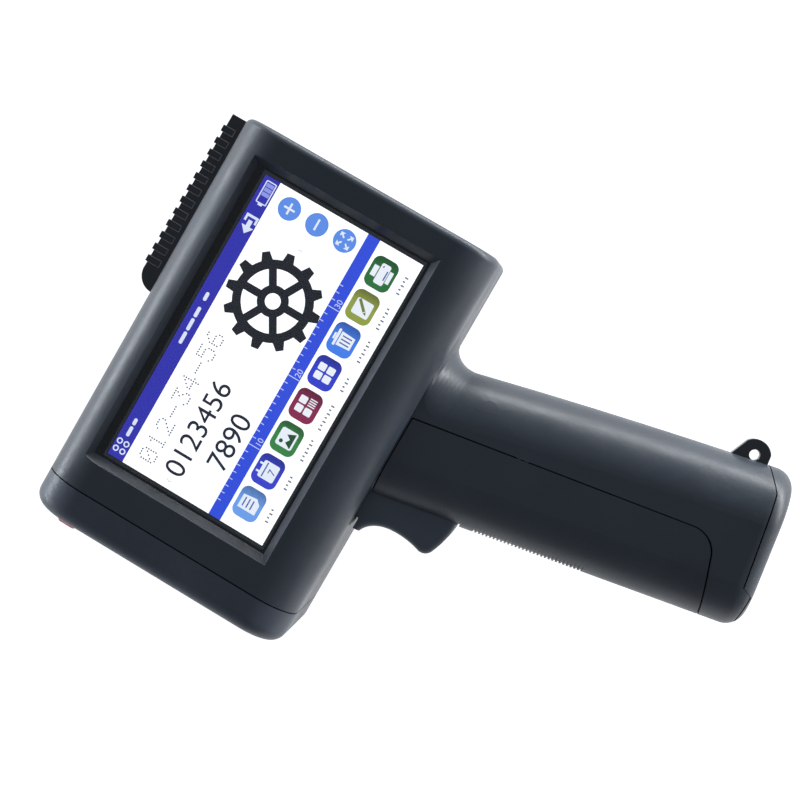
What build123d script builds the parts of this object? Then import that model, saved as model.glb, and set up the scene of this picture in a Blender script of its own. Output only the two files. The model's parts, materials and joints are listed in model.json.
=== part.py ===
from build123d import *
import math
import os

os.makedirs("parts", exist_ok=True)

# A hand-held thermal inkjet date code printer, lying on its back with the screen up.
# X runs along the screen towards the rear, Y towards the top of the picture, Z out of the screen.
# The origin is on the flat back, behind the middle of the display.

# ---------------------------------------------------------------- driving dimensions (mm)
DEPTH = 60.0
PARTING = DEPTH / 2
PARTING_GAP = 0.24
NOSE_FRONT, NOSE_SEAM, REAR = -72.1, -61.0, 60.0
BOTTOM, TOP = -45.5, 42.0
BOTTOM_DRAFT = 1.5  # the underside leans in by this much from the screen to the back
WALL = 2.5
FACE_WALL = 3.0
SECTION_RADII = (7.0, 10.0, 15.0, 12.0)  # back bottom, back top, screen top, screen bottom
REAR_EDGE_RADIUS = 2.2
NOSE_EDGE_RADIUS = 4.5
SEAM_GAP = 0.4
FIT = 0.05
SMALL_ROUND = 0.5
FAR = 100.0

# display: a 4.3 inch panel behind a bevelled window
WINDOW = (98.4, 59.0)
WINDOW_RISE = 0.8
BEVEL_DEPTH = 3.0
BEVEL_ANGLE = 37.0
GLASS_TOP = DEPTH - BEVEL_DEPTH
GLASS = (102.4, 62.6, 0.9)
GASKET_THICK = 0.5
GLASS_X = (-GLASS[0] / 2, GLASS[0] / 2)
GLASS_Y = (WINDOW_RISE - GLASS[1] / 2, WINDOW_RISE + GLASS[1] / 2)
GASKET_EDGE, GASKET_INNER = 0.4, (48.6, 27.8)
POCKET_GAP = 0.2
PANEL = (105.5, 67.2, 3.0)
PANEL_TOP = GLASS_TOP - GLASS[2] - GASKET_THICK
PANEL_BACK = PANEL_TOP - PANEL[2]

# handle: raked about 11.5 degrees; its front and rear lines are (x, y, slope), and its rear bulges
HANDLE_Z = (12.0, 48.0)
HANDLE_HIGH, HANDLE_LOW = -38.0, -166.0
FRONT_LINE = (-15.6, -72.3, 0.187)
REAR_LINE = (29.2, -65.0, 0.2253)
HANDLE_BULGE = 1.1
HANDLE_RADII = (14.0, 17.0)
FLARE_RADIUS = 10.5
FLARE_STEPS, FLARE_INSET = 8, 0.02
BUTT_LINE = ((0.0, -160.2), (50.0, -152.6))
BUTT_RADIUS = 6.0
RAKE = math.radians(11.4)
GRIP_SEAM = ((7.1, BOTTOM - 0.1), (22.6, -139.5), (-30.0, -157.9))
GRIP_SEAM_RADIUS = 8.0
BUTT_SEAM = ((60.0, -133.8), (41.5, -148.7), (13.0, -154.0), (11.5, -157.5), (-20.0, -157.8))

# ink cartridge, its slide and the grip of the slide
PEN_X, PEN_Y, PEN_Z = (-58.6, 5.0), (-33.0, 33.0), (19.6, 40.0)
SNOUT_X, SNOUT_Y, SNOUT_Z = (-71.3, -58.6), (-22.0, 2.0), (23.0, 37.0)
LID_THICK = 2.5
NOZZLE_Y, NOZZLE_Z, NOZZLE_THICK = (-17.0, -3.0), (26.5, 33.5), 0.3
FLEX_X, FLEX_Z, FLEX_THICK = (-57.0, -37.0), (23.0, 37.0), 0.15
CLAMP_THICK, CLAMP_Y, CLAMP_TOP = 3.0, (-22.0, 22.0), 36.0
CLAMP_SPRING_Y, CLAMP_SPRING_Z = (-14.0, 14.0), 28.0
CLAMP_SPRING_RADIUS, CLAMP_WIRE, CLAMP_TURNS = 3.0, 0.35, 5
TRAY_Y = (-34.8, 34.8)
TRAY_WALL = 1.3
TRAY_Z = (18.0, 39.0)
TRAY_SIDE_X = (-30.0, 57.0)
TRAY_WALLS = (((23.0, 25.0), 36.0), ((40.0, 41.6), 30.0))  # x range and top of each cross wall
SLIDE_X = (-54.0, 57.0)
DOOR_Y, DOOR_Z = (-36.0, 36.0), (16.5, 43.0)
DOOR_GAP = 0.35
GRIP_X, GRIP_Y, GRIP_Z = (-1.0, 58.4), (42.6, 49.2), (18.0, 42.0)
GRIP_FALL = 0.014  # slope of the top of the grip, which is lower at the rear
NECK_X, NECK_Z, NECK_GAP = (8.0, 57.0), (27.0, 33.0), 0.5
RIB_FIRST, RIB_PITCH, RIB_COUNT = 7.8, 4.13, 12
RIB_HALF, RIB_PROUD, RIB_OVERHANG = 1.05, 0.3, 0.4
RAIL_X, RAIL_FOOT_Y, RAIL_WEB_Y = (-34.0, 54.0), (25.0, 31.0), (27.0, 29.0)
RAIL_FOOT_TOP, RAIL_GAP = 4.0, 0.2

# nose wheels: axis, radii and places along Y
WHEEL_AXIS_X = -67.4
WHEEL_RADIUS, HUB_RADIUS, AXLE_RADIUS = 7.5, 5.2, 1.5
WHEEL_Y = (26.6, 32.2)
AXLE_Y = (16.5, 36.6)
ENCODER_Z, GUIDE_Z = 45.0, 15.0
BUSH_RADIUS, BUSH_BORE = 2.3, 1.56
BUSH_Y = ((21.6, 23.8), (34.4, 36.4))
BUSH_RIB = 6.0
BUSH_RIB_REAR = -61.8
WHEEL_SIDE_GAP, WHEEL_ROUND_GAP = 0.8, 0.6
HUB_CORE_RADIUS = 2.4
HUB_CORE_PROUD = 0.4
HUB_HOLES, HUB_HOLE_RADIUS, HUB_HOLE_REACH = 5, 0.8, 3.6
TREAD_GROOVES, TREAD_GROOVE_RADIUS = 24, 0.35
TYRE_SHOULDER = 0.8
MAGNET_RADIUS, MAGNET_LENGTH = 2.2, 2.5
ENCODER_BOARD_Y, ENCODER_BOARD_Z, ENCODER_CHIP = (9.0, 10.6), (39.0, 53.0), 2.0

# print plate, its screws and the product sensor beside it
PLATE_Y, PLATE_Z, PLATE_THICK = (-30.0, 20.0), (14.0, 46.0), 1.0
PLATE_WINDOW_GAP = 0.8
WINDOW_Y = (SNOUT_Y[0] - PLATE_WINDOW_GAP, SNOUT_Y[1] + PLATE_WINDOW_GAP)
WINDOW_Z = (SNOUT_Z[0] - PLATE_WINDOW_GAP, SNOUT_Z[1] + PLATE_WINDOW_GAP)
PLATE_SCREWS = [(y, z) for y in (-27.0, 17.0) for z in (17.0, 43.0)]
PLATE_SCREW_RADIUS, PLATE_SCREW_LENGTH = 0.8, 2.4
PLATE_HEAD_RADIUS, PLATE_HEAD_THICK = 1.6, 0.6
SENSOR_Y, SENSOR_Z, SENSOR_RADIUS, SENSOR_LENGTH = -36.5, 30.0, 2.6, 9.0
SENSOR_LENS_RADIUS, SENSOR_LENS_DEEP = 1.7, 0.6
TONGUE = 2.0

# trigger
PIVOT = (-22.0, -39.2)
PIVOT_PIN_RADIUS, PIVOT_GAP = 1.5, 0.06
PIVOT_BOSSES = (19.4, 43.6)  # inner ends of the two bosses that hold the pin
TRIGGER_Z = (20.6, 39.4)
TRIGGER_ROUND = 2.0
TRIGGER_WALL = 2.4
TRIGGER_SLOT_X, TRIGGER_SLOT_Y, TRIGGER_SLOT_GAP = (-29.6, -9.0), (-73.5, -40.0), 0.6
TRIGGER_PIN_Z = (15.0, 49.0)
TRIGGER_SPRING_RADIUS, TRIGGER_WIRE, TRIGGER_SPRING_TURNS = 2.3, 0.3, 3
SWITCH_X, SWITCH_Y, SWITCH_Z = (-6.5, 0.0), (-66.0, -54.0), (26.5, 33.5)
SWITCH_PLUNGER = (-9.2, -60.0, 1.0)  # tip x, y and radius
SWITCH_RIB_X, SWITCH_RIB_Y = (-5.0, -1.0), (-65.0, -55.0)

# fine ridges on the front of the grip
RIDGE_TOP, RIDGE_PITCH, RIDGE_COUNT, RIDGE_DEEP = -78.0, 1.15, 30, 0.5
GROOVE_HALF, RIDGE_Z, RIDGE_REACH = 0.3, (18.4, 41.6), 5.0

# battery pack, square to the raked handle, measured from the butt
PACK_FOOT = (24.1, -151.6)
PACK_WIDE, PACK_THICK, PACK_LENGTH = 39.0, 20.6, 68.0
PACK_WALL, PACK_END = 1.0, 1.4
CELL_RADIUS, CELL_LENGTH, CELL_OFFSET = 9.15, 65.0, 9.2
CAP_PLUG = 4.5
TERMINALS_ACROSS = (-6.0, 0.0, 6.0)
TERMINAL = (3.5, 8.0, 0.4)
SOCKET_WIDE, SOCKET_THICK, SOCKET_GAP = 14.0, 4.0, 2.4
SOCKET_PIN_RADIUS, SOCKET_PIN_LENGTH = 0.9, 1.6

# lanyard eye at the rear of the handle: centre, radius, hole, and the line of its foot inside the wall
EYE_CENTRE, EYE_RADIUS, EYE_HOLE = (48.1, -138.7), 5.0, 1.6
EYE_LOW, EYE_TOP = (46.6, -143.6), (44.6, -132.2)
EYE_ARC = ((50.9, -134.7), (50.2, -143.1))
EYE_FOOT = ((43.8, -143.6), (41.3, -132.2))
EYE_Z, EYE_FOOT_Z, EYE_FOOT_THICK = (27.6, 32.4), (25.5, 34.5), (0.4, 0.5)
EYE_SLOT_X, EYE_SLOT_Y, EYE_SLOT_Z = (38.0, 50.0), (-143.9, -131.9), (27.4, 32.6)

# boards
BOARD_THICK = 1.6
MAIN_BOARD_Z = 45.4
BOARD_TOP = MAIN_BOARD_Z + BOARD_THICK
MAIN_BOARD_X, MAIN_BOARD_Y = (-50.0, 50.0), (-30.0, 31.0)
BOARD_POSTS = [(x, y) for x in (-46.0, 46.0) for y in (-21.5, 21.5)]
POST_RADIUS = 2.4
LOW_BOARD_Z = 4.6
LOW_TOP = LOW_BOARD_Z + BOARD_THICK
DRIVER_BOARD_X, DRIVER_BOARD_Y = (-50.0, 2.0), (-22.5, 22.5)
IO_BOARD_X, IO_BOARD_Y = (24.0, 56.0), (-23.0, 23.0)
LOW_SCREWS = [(x, y) for x in (-47.0, -1.0, 27.0, 43.0) for y in (-19.5, 19.5)]
LOW_POST_RADIUS, LOW_SCREW_FOOT = 2.4, 3.2
BOARD_ROUND = 1.8
MAIN_CHIPS = [
    ((-17.0, -3.0), (-2.0, 12.0), 1.4),
    ((2.0, 14.0), (0.0, 8.0), 1.1),
    ((2.0, 14.0), (11.0, 19.0), 1.1),
    ((-38.0, -31.0), (-8.0, -1.0), 1.6),
    ((-12.0, 12.0), (-25.5, -22.0), 2.0),
]
MAIN_CAPACITORS = [(-34.0, 12.0), (-27.0, 12.0)]
DRIVER_CHIPS_AT = (-25.5, 4.5)
DRIVER_CAPACITORS = [(-30.0, -11.0), (-20.0, -11.0)]
BUZZER_AT, BUZZER_RADIUS, BUZZER_HIGH, BUZZER_HOLE = (-7.0, -9.0), 6.0, 7.0, 1.2
CLOCK_CELL_AT, CLOCK_CELL_RADIUS = (28.0, -6.0), 6.2
RIBBON_THICK = 0.3
DISPLAY_RIBBON_X, DISPLAY_RIBBON_WIDE = -10.0, 20.0
HEAD_RIBBON_X, HEAD_RIBBON_WIDE = -44.8, 6.4
CONTACT_X, CONTACT_Y, CONTACT_Z = (-50.0, -38.0), (-41.8, -36.6), (22.0, 38.0)
CONTACTS = [(-48.0 + 2.0 * k, z) for k in range(5) for z in (26.0, 30.0, 34.0)]
CONTACT_RADIUS, CONTACT_DEEP = 0.5, 3.0

# small machine screws that hold the boards and the display: shank, head and socket radii, head height
SMALL_SHANK, SMALL_HEAD, SMALL_SOCKET, SMALL_HEAD_HIGH = 1.0, 1.8, 0.8, 1.3
SMALL_SOCKET_SHARE = 0.6
BRACKET_SCREWS = [(x, y) for x in (-55.3, 55.3) for y in (-20.0, 20.0)]
BRACKET_SCREW_TOP = 55.5
BRACKET_THICK, BRACKET_OUTER, BRACKET_INNER = 1.0, (57.2, 25.0), (42.0, 18.0)
BRACKET_POST_RADIUS = 1.9

# rear face: USB port, charging jack and power button with its switch
USB_X, USB_Y, USB_Z = (45.5, 59.8), (-6.5, 6.5), (6.2, 13.2)
USB_WALL, USB_BACK = (0.4, 0.9), 50.0
USB_TONGUE_Y, USB_TONGUE_Z = (-5.1, 5.1), (9.8, 11.4)
JACK_X, JACK_Y, JACK_Z = (46.5, 59.8), (12.5, 21.5), (6.2, 15.2)
JACK_BORE, JACK_BACK, JACK_PIN = 2.8, 49.0, 1.0
SOCKET_FIT = 0.2
BUTTON_Y, BUTTON_Z, BUTTON_RADIUS = -17.0, 11.0, 3.6
BUTTON_PROUD, BUTTON_BACK, BUTTON_RIM, BUTTON_GAP = 0.8, 56.2, 0.9, 0.3
POWER_SWITCH_X, POWER_SWITCH_HALF = (46.5, 53.0), 3.2

# case screws: four through the body and one through the handle
BODY_SCREWS = [(-52.0, 38.0), (-10.0, 38.0), (-56.0, -38.4), (50.0, -38.4)]
HANDLE_SCREW = [(20.0, -64.0)]
CASE_SCREW_RADIUS, CASE_SCREW_TIP = 1.25, 42.0
CASE_HEAD_RADIUS, CASE_HEAD_HIGH, CASE_SOCKET = 2.4, 2.0, 1.1
SCREW_GAP = 0.2
BODY_SEAT, HANDLE_SEAT = 6.0, 16.0  # heights that the heads press on
BOSS_RADIUS = 3.0
BODY_BOSS_TOP, HANDLE_BOSS_TOP = 55.4, 46.5
SCREEN_HALF_FROM = PARTING + PARTING_GAP / 2
BACK_HALF_TO = PARTING - PARTING_GAP / 2


# ---------------------------------------------------------------- shared shapes
def block(x, y, z, mode=Mode.ADD):
    """A box between two corners, for use inside a part block."""
    with Locations(((x[0] + x[1]) / 2, (y[0] + y[1]) / 2, (z[0] + z[1]) / 2)):
        Box(x[1] - x[0], y[1] - y[0], z[1] - z[0], mode=mode)


def rod_x(y, z, radius, x, mode=Mode.ADD):
    """A cylinder along X."""
    with Locations(((x[0] + x[1]) / 2, y, z)):
        Cylinder(radius, x[1] - x[0], rotation=(0, 90, 0), mode=mode)


def rod_y(x, z, radius, y, mode=Mode.ADD):
    """A cylinder along Y."""
    with Locations((x, (y[0] + y[1]) / 2, z)):
        Cylinder(radius, y[1] - y[0], rotation=(90, 0, 0), mode=mode)


def rod_z(points, radius, z, mode=Mode.ADD):
    """Upright cylinders at the given x, y points."""
    with Locations([(x, y, (z[0] + z[1]) / 2) for x, y in points]):
        Cylinder(radius, z[1] - z[0], mode=mode)


def grown(span, by):
    """A range made longer by the same amount at both ends."""
    return (span[0] - by, span[1] + by)


def prism(points, z, radius=None):
    """A polygon in plan, drawn out along Z; its corners may be rounded."""
    with BuildPart() as shape:
        with BuildSketch(Plane.XY.offset(z[0])):
            with BuildLine():
                if radius:
                    FilletPolyline(*points, radius=radius, close=True)
                else:
                    Polyline(*points, close=True)
            make_face()
        extrude(amount=z[1] - z[0])
    return shape.part


def finish(part, name):
    """Labels a piece and writes its file."""
    part.label = name
    export_step(part, f"parts/{name}.step")


def body_bar(inset, x):
    """The body's rounded cross-section, inset by a wall, drawn out between two X planes."""
    face_inset = inset + FACE_WALL - WALL if inset else 0.0
    outline = [
        (BOTTOM + BOTTOM_DRAFT + inset, inset),
        (TOP - inset, inset),
        (TOP - inset, DEPTH - face_inset),
        (BOTTOM + inset, DEPTH - face_inset),
    ]
    with BuildPart() as bar:
        with BuildSketch(Plane.YZ.offset(x[0])):
            with BuildLine():
                FilletPolyline(*outline, radius=[r - inset for r in SECTION_RADII], close=True)
            make_face()
        extrude(amount=x[1] - x[0])
    return bar.part


def front_x(y):
    """The handle's front line at one height."""
    return FRONT_LINE[0] + (FRONT_LINE[1] - y) * FRONT_LINE[2]


def rear_x(y):
    """The handle's rear line at one height, bulging most half way down."""
    middle, half = (HANDLE_HIGH + HANDLE_LOW) / 2, (HANDLE_HIGH - HANDLE_LOW) / 2
    bulge = HANDLE_BULGE * (1 - ((y - middle) / half) ** 2)
    return REAR_LINE[0] + (REAR_LINE[1] - y) * REAR_LINE[2] + bulge


def handle_section(y, inset, shift=0.0):
    """The handle's section at one height; shift moves its rear outwards."""
    front, rear = front_x(y) + inset, rear_x(y) - inset + shift
    low, high = HANDLE_Z[0] + inset, HANDLE_Z[1] - inset
    front_radius, rear_radius = (r - inset for r in HANDLE_RADII)
    radii = [front_radius, rear_radius, rear_radius, front_radius]
    with BuildSketch(Plane.XZ.offset(-y)) as section:
        with BuildLine():
            FilletPolyline((front, low), (rear, low), (rear, high), (front, high), radius=radii, close=True)
        make_face()
    return section.sketch


def handle_tube(inset):
    """The raked handle as a solid, inset by a wall."""
    heights = (HANDLE_HIGH, (HANDLE_HIGH + HANDLE_LOW) / 2, HANDLE_LOW)
    with BuildPart() as tube:
        loft([handle_section(y, inset) for y in heights])
    return tube.part


def handle_flare():
    """The hollow curve where the back of the handle runs out under the body."""
    top = BOTTOM + BOTTOM_DRAFT / 2
    sections = [handle_section(top + BOTTOM_DRAFT, FLARE_INSET, FLARE_RADIUS)]
    for k in range(FLARE_STEPS + 1):
        drop = FLARE_RADIUS * k / FLARE_STEPS
        shift = FLARE_RADIUS - math.sqrt(FLARE_RADIUS**2 - (FLARE_RADIUS - drop) ** 2)
        sections.append(handle_section(top - drop, FLARE_INSET, shift))
    with BuildPart() as flare:
        loft(sections, ruled=True)
    return flare.part


def screws(name, points, shank, head):
    """Small machine screws along Z; shank and head are z ranges, with the socket in the head's outer face."""
    upright = head[1] > shank[1]
    depth = SMALL_SOCKET_SHARE * (head[1] - head[0])
    socket = (head[1] - depth, head[1]) if upright else (head[0], head[0] + depth)
    with BuildPart() as group:
        rod_z(points, SMALL_SHANK, shank)
        rod_z(points, SMALL_HEAD, head)
        rod_z(points, SMALL_SOCKET, socket, mode=Mode.SUBTRACT)
    finish(group.part, name)


# ---------------------------------------------------------------- the outer form
with BuildPart() as body_outer:
    add(body_bar(0.0, (NOSE_SEAM + SEAM_GAP / 2, REAR)))
    fillet(faces().sort_by(Axis.X)[-1].edges(), REAR_EDGE_RADIUS)

with BuildPart() as handle_outer:
    add(handle_tube(0.0))
    (butt_x, butt_y), (butt_end_x, butt_end_y) = BUTT_LINE
    butt_slope = (butt_end_y - butt_y) / (butt_end_x - butt_x)
    butt_cut = [(x, butt_y + (x - butt_x) * butt_slope) for x in (-FAR, FAR)]
    add(prism(butt_cut + [(FAR, -2 * FAR), (-FAR, -2 * FAR)], (0, DEPTH)), mode=Mode.SUBTRACT)
    fillet(faces().sort_by(Axis.Y)[0].edges(), BUTT_RADIUS)

with BuildPart() as whole_outer:
    add(body_outer.part)
    add(handle_outer.part)
    add(handle_flare())

with BuildPart() as whole_inner:
    add(body_bar(WALL, (NOSE_SEAM - 1, REAR - WALL)))
    add(handle_tube(WALL))


def grip_side(inset):
    """Everything in front of the grip seam, drawn in from it by a gap."""
    (high_x, high_y), (low_x, low_y), (front_end, front_y) = GRIP_SEAM
    outline = [
        (-FAR, high_y - inset),
        (high_x - inset, high_y - inset),
        (low_x - inset, low_y + inset),
        (front_end, front_y + inset),
        (-FAR, front_y + inset),
    ]
    corner = GRIP_SEAM_RADIUS - inset / 2
    return prism(outline, (-1, DEPTH + 1), [SMALL_ROUND, SMALL_ROUND, corner, SMALL_ROUND, SMALL_ROUND])


def butt_side(inset):
    """Everything under the butt seam, drawn down from it by a gap."""
    seam = [(x, y - inset) for x, y in BUTT_SEAM]
    return prism(seam + [(seam[-1][0], -2 * FAR), (seam[0][0], -2 * FAR)], (-1, DEPTH + 1))


def cut_trigger_slot():
    """The slot that the trigger swings in, for use inside a part block."""
    block(TRIGGER_SLOT_X, TRIGGER_SLOT_Y, grown(TRIGGER_Z, TRIGGER_SLOT_GAP), mode=Mode.SUBTRACT)


def cut_case_half():
    """Openings that both case halves share, for use inside a shell block."""
    rear_wall = (REAR - 6, REAR + 1)
    add(whole_inner.part, mode=Mode.SUBTRACT)
    add(grip_side(0.0), mode=Mode.SUBTRACT)
    add(butt_side(0.0), mode=Mode.SUBTRACT)
    cut_trigger_slot()
    block(rear_wall, grown(DOOR_Y, DOOR_GAP), grown(DOOR_Z, DOOR_GAP), mode=Mode.SUBTRACT)
    neck_x, neck_z = (NECK_X[0] - NECK_GAP, REAR + 1), grown(NECK_Z, NECK_GAP)
    block(neck_x, (DOOR_Y[1] - 1, TOP + 1), neck_z, mode=Mode.SUBTRACT)
    block(EYE_SLOT_X, EYE_SLOT_Y, EYE_SLOT_Z, mode=Mode.SUBTRACT)


# ---------------------------------------------------------------- case
with BuildPart() as screen_bosses:
    rod_z(BODY_SCREWS, BOSS_RADIUS, (SCREEN_HALF_FROM, BODY_BOSS_TOP))
    rod_z(HANDLE_SCREW, BOSS_RADIUS, (SCREEN_HALF_FROM, HANDLE_BOSS_TOP))
    rod_z([PIVOT], BOSS_RADIUS, (PIVOT_BOSSES[1], BODY_BOSS_TOP))
    add(whole_outer.part, mode=Mode.INTERSECT)

with BuildPart() as screen_shell:
    add(whole_outer.part)
    block((-FAR, FAR), (-2 * FAR, FAR), (-1, SCREEN_HALF_FROM), mode=Mode.SUBTRACT)
    cut_case_half()
    add(screen_bosses.part)
    rod_z(BRACKET_SCREWS, BRACKET_POST_RADIUS, (PANEL_BACK, DEPTH - 1))
    rod_z(BRACKET_SCREWS, SMALL_SHANK + FIT, (PANEL_BACK, BRACKET_SCREW_TOP + 0.5), mode=Mode.SUBTRACT)
    screw_z = (PARTING, CASE_SCREW_TIP + 2)
    rod_z(BODY_SCREWS + HANDLE_SCREW, CASE_SCREW_RADIUS + FIT, screw_z, mode=Mode.SUBTRACT)
    rod_z([PIVOT], PIVOT_PIN_RADIUS + FIT, (TRIGGER_Z[1], TRIGGER_PIN_Z[1] + 1), mode=Mode.SUBTRACT)
    panel_x = grown((-PANEL[0] / 2, PANEL[0] / 2), POCKET_GAP)
    panel_y = grown((-PANEL[1] / 2, PANEL[1] / 2), POCKET_GAP)
    block(panel_x, panel_y, (PANEL_BACK - 2, PANEL_TOP + GASKET_THICK), mode=Mode.SUBTRACT)
    glass_x, glass_y = grown(GLASS_X, POCKET_GAP), grown(GLASS_Y, POCKET_GAP)
    block(glass_x, glass_y, (PANEL_TOP, GLASS_TOP), mode=Mode.SUBTRACT)
    with BuildSketch(Plane.XY.offset(GLASS_TOP - 0.5)):
        with Locations((0, WINDOW_RISE)):
            Rectangle(*WINDOW)
    extrude(amount=1, mode=Mode.SUBTRACT)
    with BuildSketch(Plane.XY.offset(GLASS_TOP)):
        with Locations((0, WINDOW_RISE)):
            Rectangle(*WINDOW)
    extrude(amount=BEVEL_DEPTH + 1, taper=-BEVEL_ANGLE, mode=Mode.SUBTRACT)
finish(screen_shell.part, "screen_shell")

with BuildPart() as back_bosses:
    rod_z(BODY_SCREWS, BOSS_RADIUS, (0.0, BACK_HALF_TO))
    rod_z(HANDLE_SCREW, BOSS_RADIUS, (HANDLE_Z[0] + WALL - 1, BACK_HALF_TO))
    rod_z([PIVOT], BOSS_RADIUS, (0.0, PIVOT_BOSSES[0]))
    add(whole_outer.part, mode=Mode.INTERSECT)

with BuildPart() as back_shell:
    add(whole_outer.part)
    block((-FAR, FAR), (-2 * FAR, FAR), (BACK_HALF_TO, DEPTH + 1), mode=Mode.SUBTRACT)
    cut_case_half()
    add(back_bosses.part)
    rod_z(LOW_SCREWS, LOW_POST_RADIUS, (WALL - 0.5, LOW_BOARD_Z))
    rod_z(LOW_SCREWS, SMALL_SHANK + FIT, (LOW_SCREW_FOOT - 0.2, LOW_BOARD_Z), mode=Mode.SUBTRACT)
    rod_z(BODY_SCREWS + HANDLE_SCREW, CASE_SCREW_RADIUS + SCREW_GAP, (0.0, PARTING), mode=Mode.SUBTRACT)
    rod_z(BODY_SCREWS, CASE_HEAD_RADIUS + SCREW_GAP, (-1.0, BODY_SEAT), mode=Mode.SUBTRACT)
    rod_z(HANDLE_SCREW, CASE_HEAD_RADIUS + SCREW_GAP, (HANDLE_Z[0] - 1, HANDLE_SEAT), mode=Mode.SUBTRACT)
    rod_z([PIVOT], PIVOT_PIN_RADIUS + FIT, (TRIGGER_PIN_Z[0] - 1, TRIGGER_Z[0]), mode=Mode.SUBTRACT)
    rear_wall = (REAR - 6, REAR + 1)
    block(rear_wall, grown(USB_Y, SOCKET_FIT), grown(USB_Z, SOCKET_FIT), mode=Mode.SUBTRACT)
    block(rear_wall, grown(JACK_Y, SOCKET_FIT), grown(JACK_Z, SOCKET_FIT), mode=Mode.SUBTRACT)
    rod_x(BUTTON_Y, BUTTON_Z, BUTTON_RADIUS + BUTTON_GAP, rear_wall, mode=Mode.SUBTRACT)
finish(back_shell.part, "back_shell")

with BuildPart() as case_screws:
    for points, seat in ((BODY_SCREWS, BODY_SEAT), (HANDLE_SCREW, HANDLE_SEAT)):
        rod_z(points, CASE_SCREW_RADIUS, (seat, CASE_SCREW_TIP))
        rod_z(points, CASE_HEAD_RADIUS, (seat - CASE_HEAD_HIGH, seat))
        rod_z(points, CASE_SOCKET, (seat - CASE_HEAD_HIGH, seat - CASE_HEAD_HIGH / 2), mode=Mode.SUBTRACT)
finish(case_screws.part, "case_screws")

# the front cap, with a tongue that fits inside the case and ribs for the wheel bushes
with BuildPart() as nose_tongue:
    add(body_bar(WALL - 0.5, (NOSE_SEAM - TONGUE, NOSE_SEAM - SEAM_GAP / 2)))
    add(body_bar(WALL + 0.1, (NOSE_SEAM - TONGUE, NOSE_SEAM + TONGUE - 0.3)))
    add(body_bar(WALL + 1.1, (NOSE_SEAM - TONGUE - 1, NOSE_SEAM + TONGUE + 1)), mode=Mode.SUBTRACT)

with BuildPart() as nose_cap:
    add(body_bar(0.0, (NOSE_FRONT, NOSE_SEAM - SEAM_GAP / 2)))
    fillet(faces().sort_by(Axis.X)[0].edges(), NOSE_EDGE_RADIUS)
    add(body_bar(WALL, (NOSE_FRONT + WALL, NOSE_SEAM)), mode=Mode.SUBTRACT)
    add(nose_tongue.part)
    for axis_z in (ENCODER_Z, GUIDE_Z):
        for bush_y in BUSH_Y:
            rib_z = (axis_z - BUSH_RIB, axis_z + BUSH_RIB)
            block((NOSE_FRONT + WALL - 0.5, BUSH_RIB_REAR), bush_y, rib_z)
            rod_y(WHEEL_AXIS_X, axis_z, BUSH_RADIUS + FIT, bush_y, mode=Mode.SUBTRACT)
        reach = WHEEL_RADIUS + WHEEL_ROUND_GAP
        slot_z = (axis_z - reach, axis_z + reach)
        block((NOSE_FRONT - 1, NOSE_SEAM + 1), grown(WHEEL_Y, WHEEL_SIDE_GAP), slot_z, mode=Mode.SUBTRACT)
    block((NOSE_FRONT - 1, NOSE_FRONT + PLATE_THICK), PLATE_Y, PLATE_Z, mode=Mode.SUBTRACT)
    block((NOSE_FRONT - 1, NOSE_SEAM), WINDOW_Y, WINDOW_Z, mode=Mode.SUBTRACT)
    rod_x(SENSOR_Y, SENSOR_Z, SENSOR_RADIUS + FIT, (NOSE_FRONT - 1, NOSE_SEAM), mode=Mode.SUBTRACT)
    for screw_y, screw_z in PLATE_SCREWS:
        hole_x = (NOSE_FRONT, NOSE_FRONT + PLATE_SCREW_LENGTH + 2)
        rod_x(screw_y, screw_z, PLATE_SCREW_RADIUS + FIT, hole_x, mode=Mode.SUBTRACT)
finish(nose_cap.part, "nose_cap")

PLATE_X = (NOSE_FRONT, NOSE_FRONT + PLATE_THICK)
PLATE_HEAD_X = (NOSE_FRONT, NOSE_FRONT + PLATE_HEAD_THICK)
with BuildPart() as print_plate:
    block(PLATE_X, PLATE_Y, PLATE_Z)
    fillet(edges().filter_by(Axis.X), 1.5)
    block(PLATE_X, WINDOW_Y, WINDOW_Z, mode=Mode.SUBTRACT)
    for screw_y, screw_z in PLATE_SCREWS:
        rod_x(screw_y, screw_z, PLATE_SCREW_RADIUS + FIT, PLATE_X, mode=Mode.SUBTRACT)
        rod_x(screw_y, screw_z, PLATE_HEAD_RADIUS + FIT, PLATE_HEAD_X, mode=Mode.SUBTRACT)
finish(print_plate.part, "print_plate")

with BuildPart() as plate_screws:
    for screw_y, screw_z in PLATE_SCREWS:
        rod_x(screw_y, screw_z, PLATE_SCREW_RADIUS, (NOSE_FRONT, NOSE_FRONT + PLATE_SCREW_LENGTH))
        rod_x(screw_y, screw_z, PLATE_HEAD_RADIUS, PLATE_HEAD_X)
        socket_x = (NOSE_FRONT, NOSE_FRONT + PLATE_HEAD_THICK / 2)
        rod_x(screw_y, screw_z, PLATE_SCREW_RADIUS, socket_x, mode=Mode.SUBTRACT)
finish(plate_screws.part, "plate_screws")

with BuildPart() as photocell:
    rod_x(SENSOR_Y, SENSOR_Z, SENSOR_RADIUS, (NOSE_FRONT, NOSE_FRONT + SENSOR_LENGTH))
    lens_x = (NOSE_FRONT, NOSE_FRONT + SENSOR_LENS_DEEP)
    rod_x(SENSOR_Y, SENSOR_Z, SENSOR_LENS_RADIUS, lens_x, mode=Mode.SUBTRACT)
finish(photocell.part, "photocell")

# finger ridges: grooves of even depth round the front of the handle
with BuildPart() as ridge_grooves:
    for k in range(RIDGE_COUNT):
        ridge_y = RIDGE_TOP - k * RIDGE_PITCH
        groove_x = (front_x(ridge_y) - 2, front_x(ridge_y) + RIDGE_REACH)
        block(groove_x, (ridge_y - GROOVE_HALF, ridge_y + GROOVE_HALF), RIDGE_Z)
    add(handle_tube(RIDGE_DEEP), mode=Mode.SUBTRACT)

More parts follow.
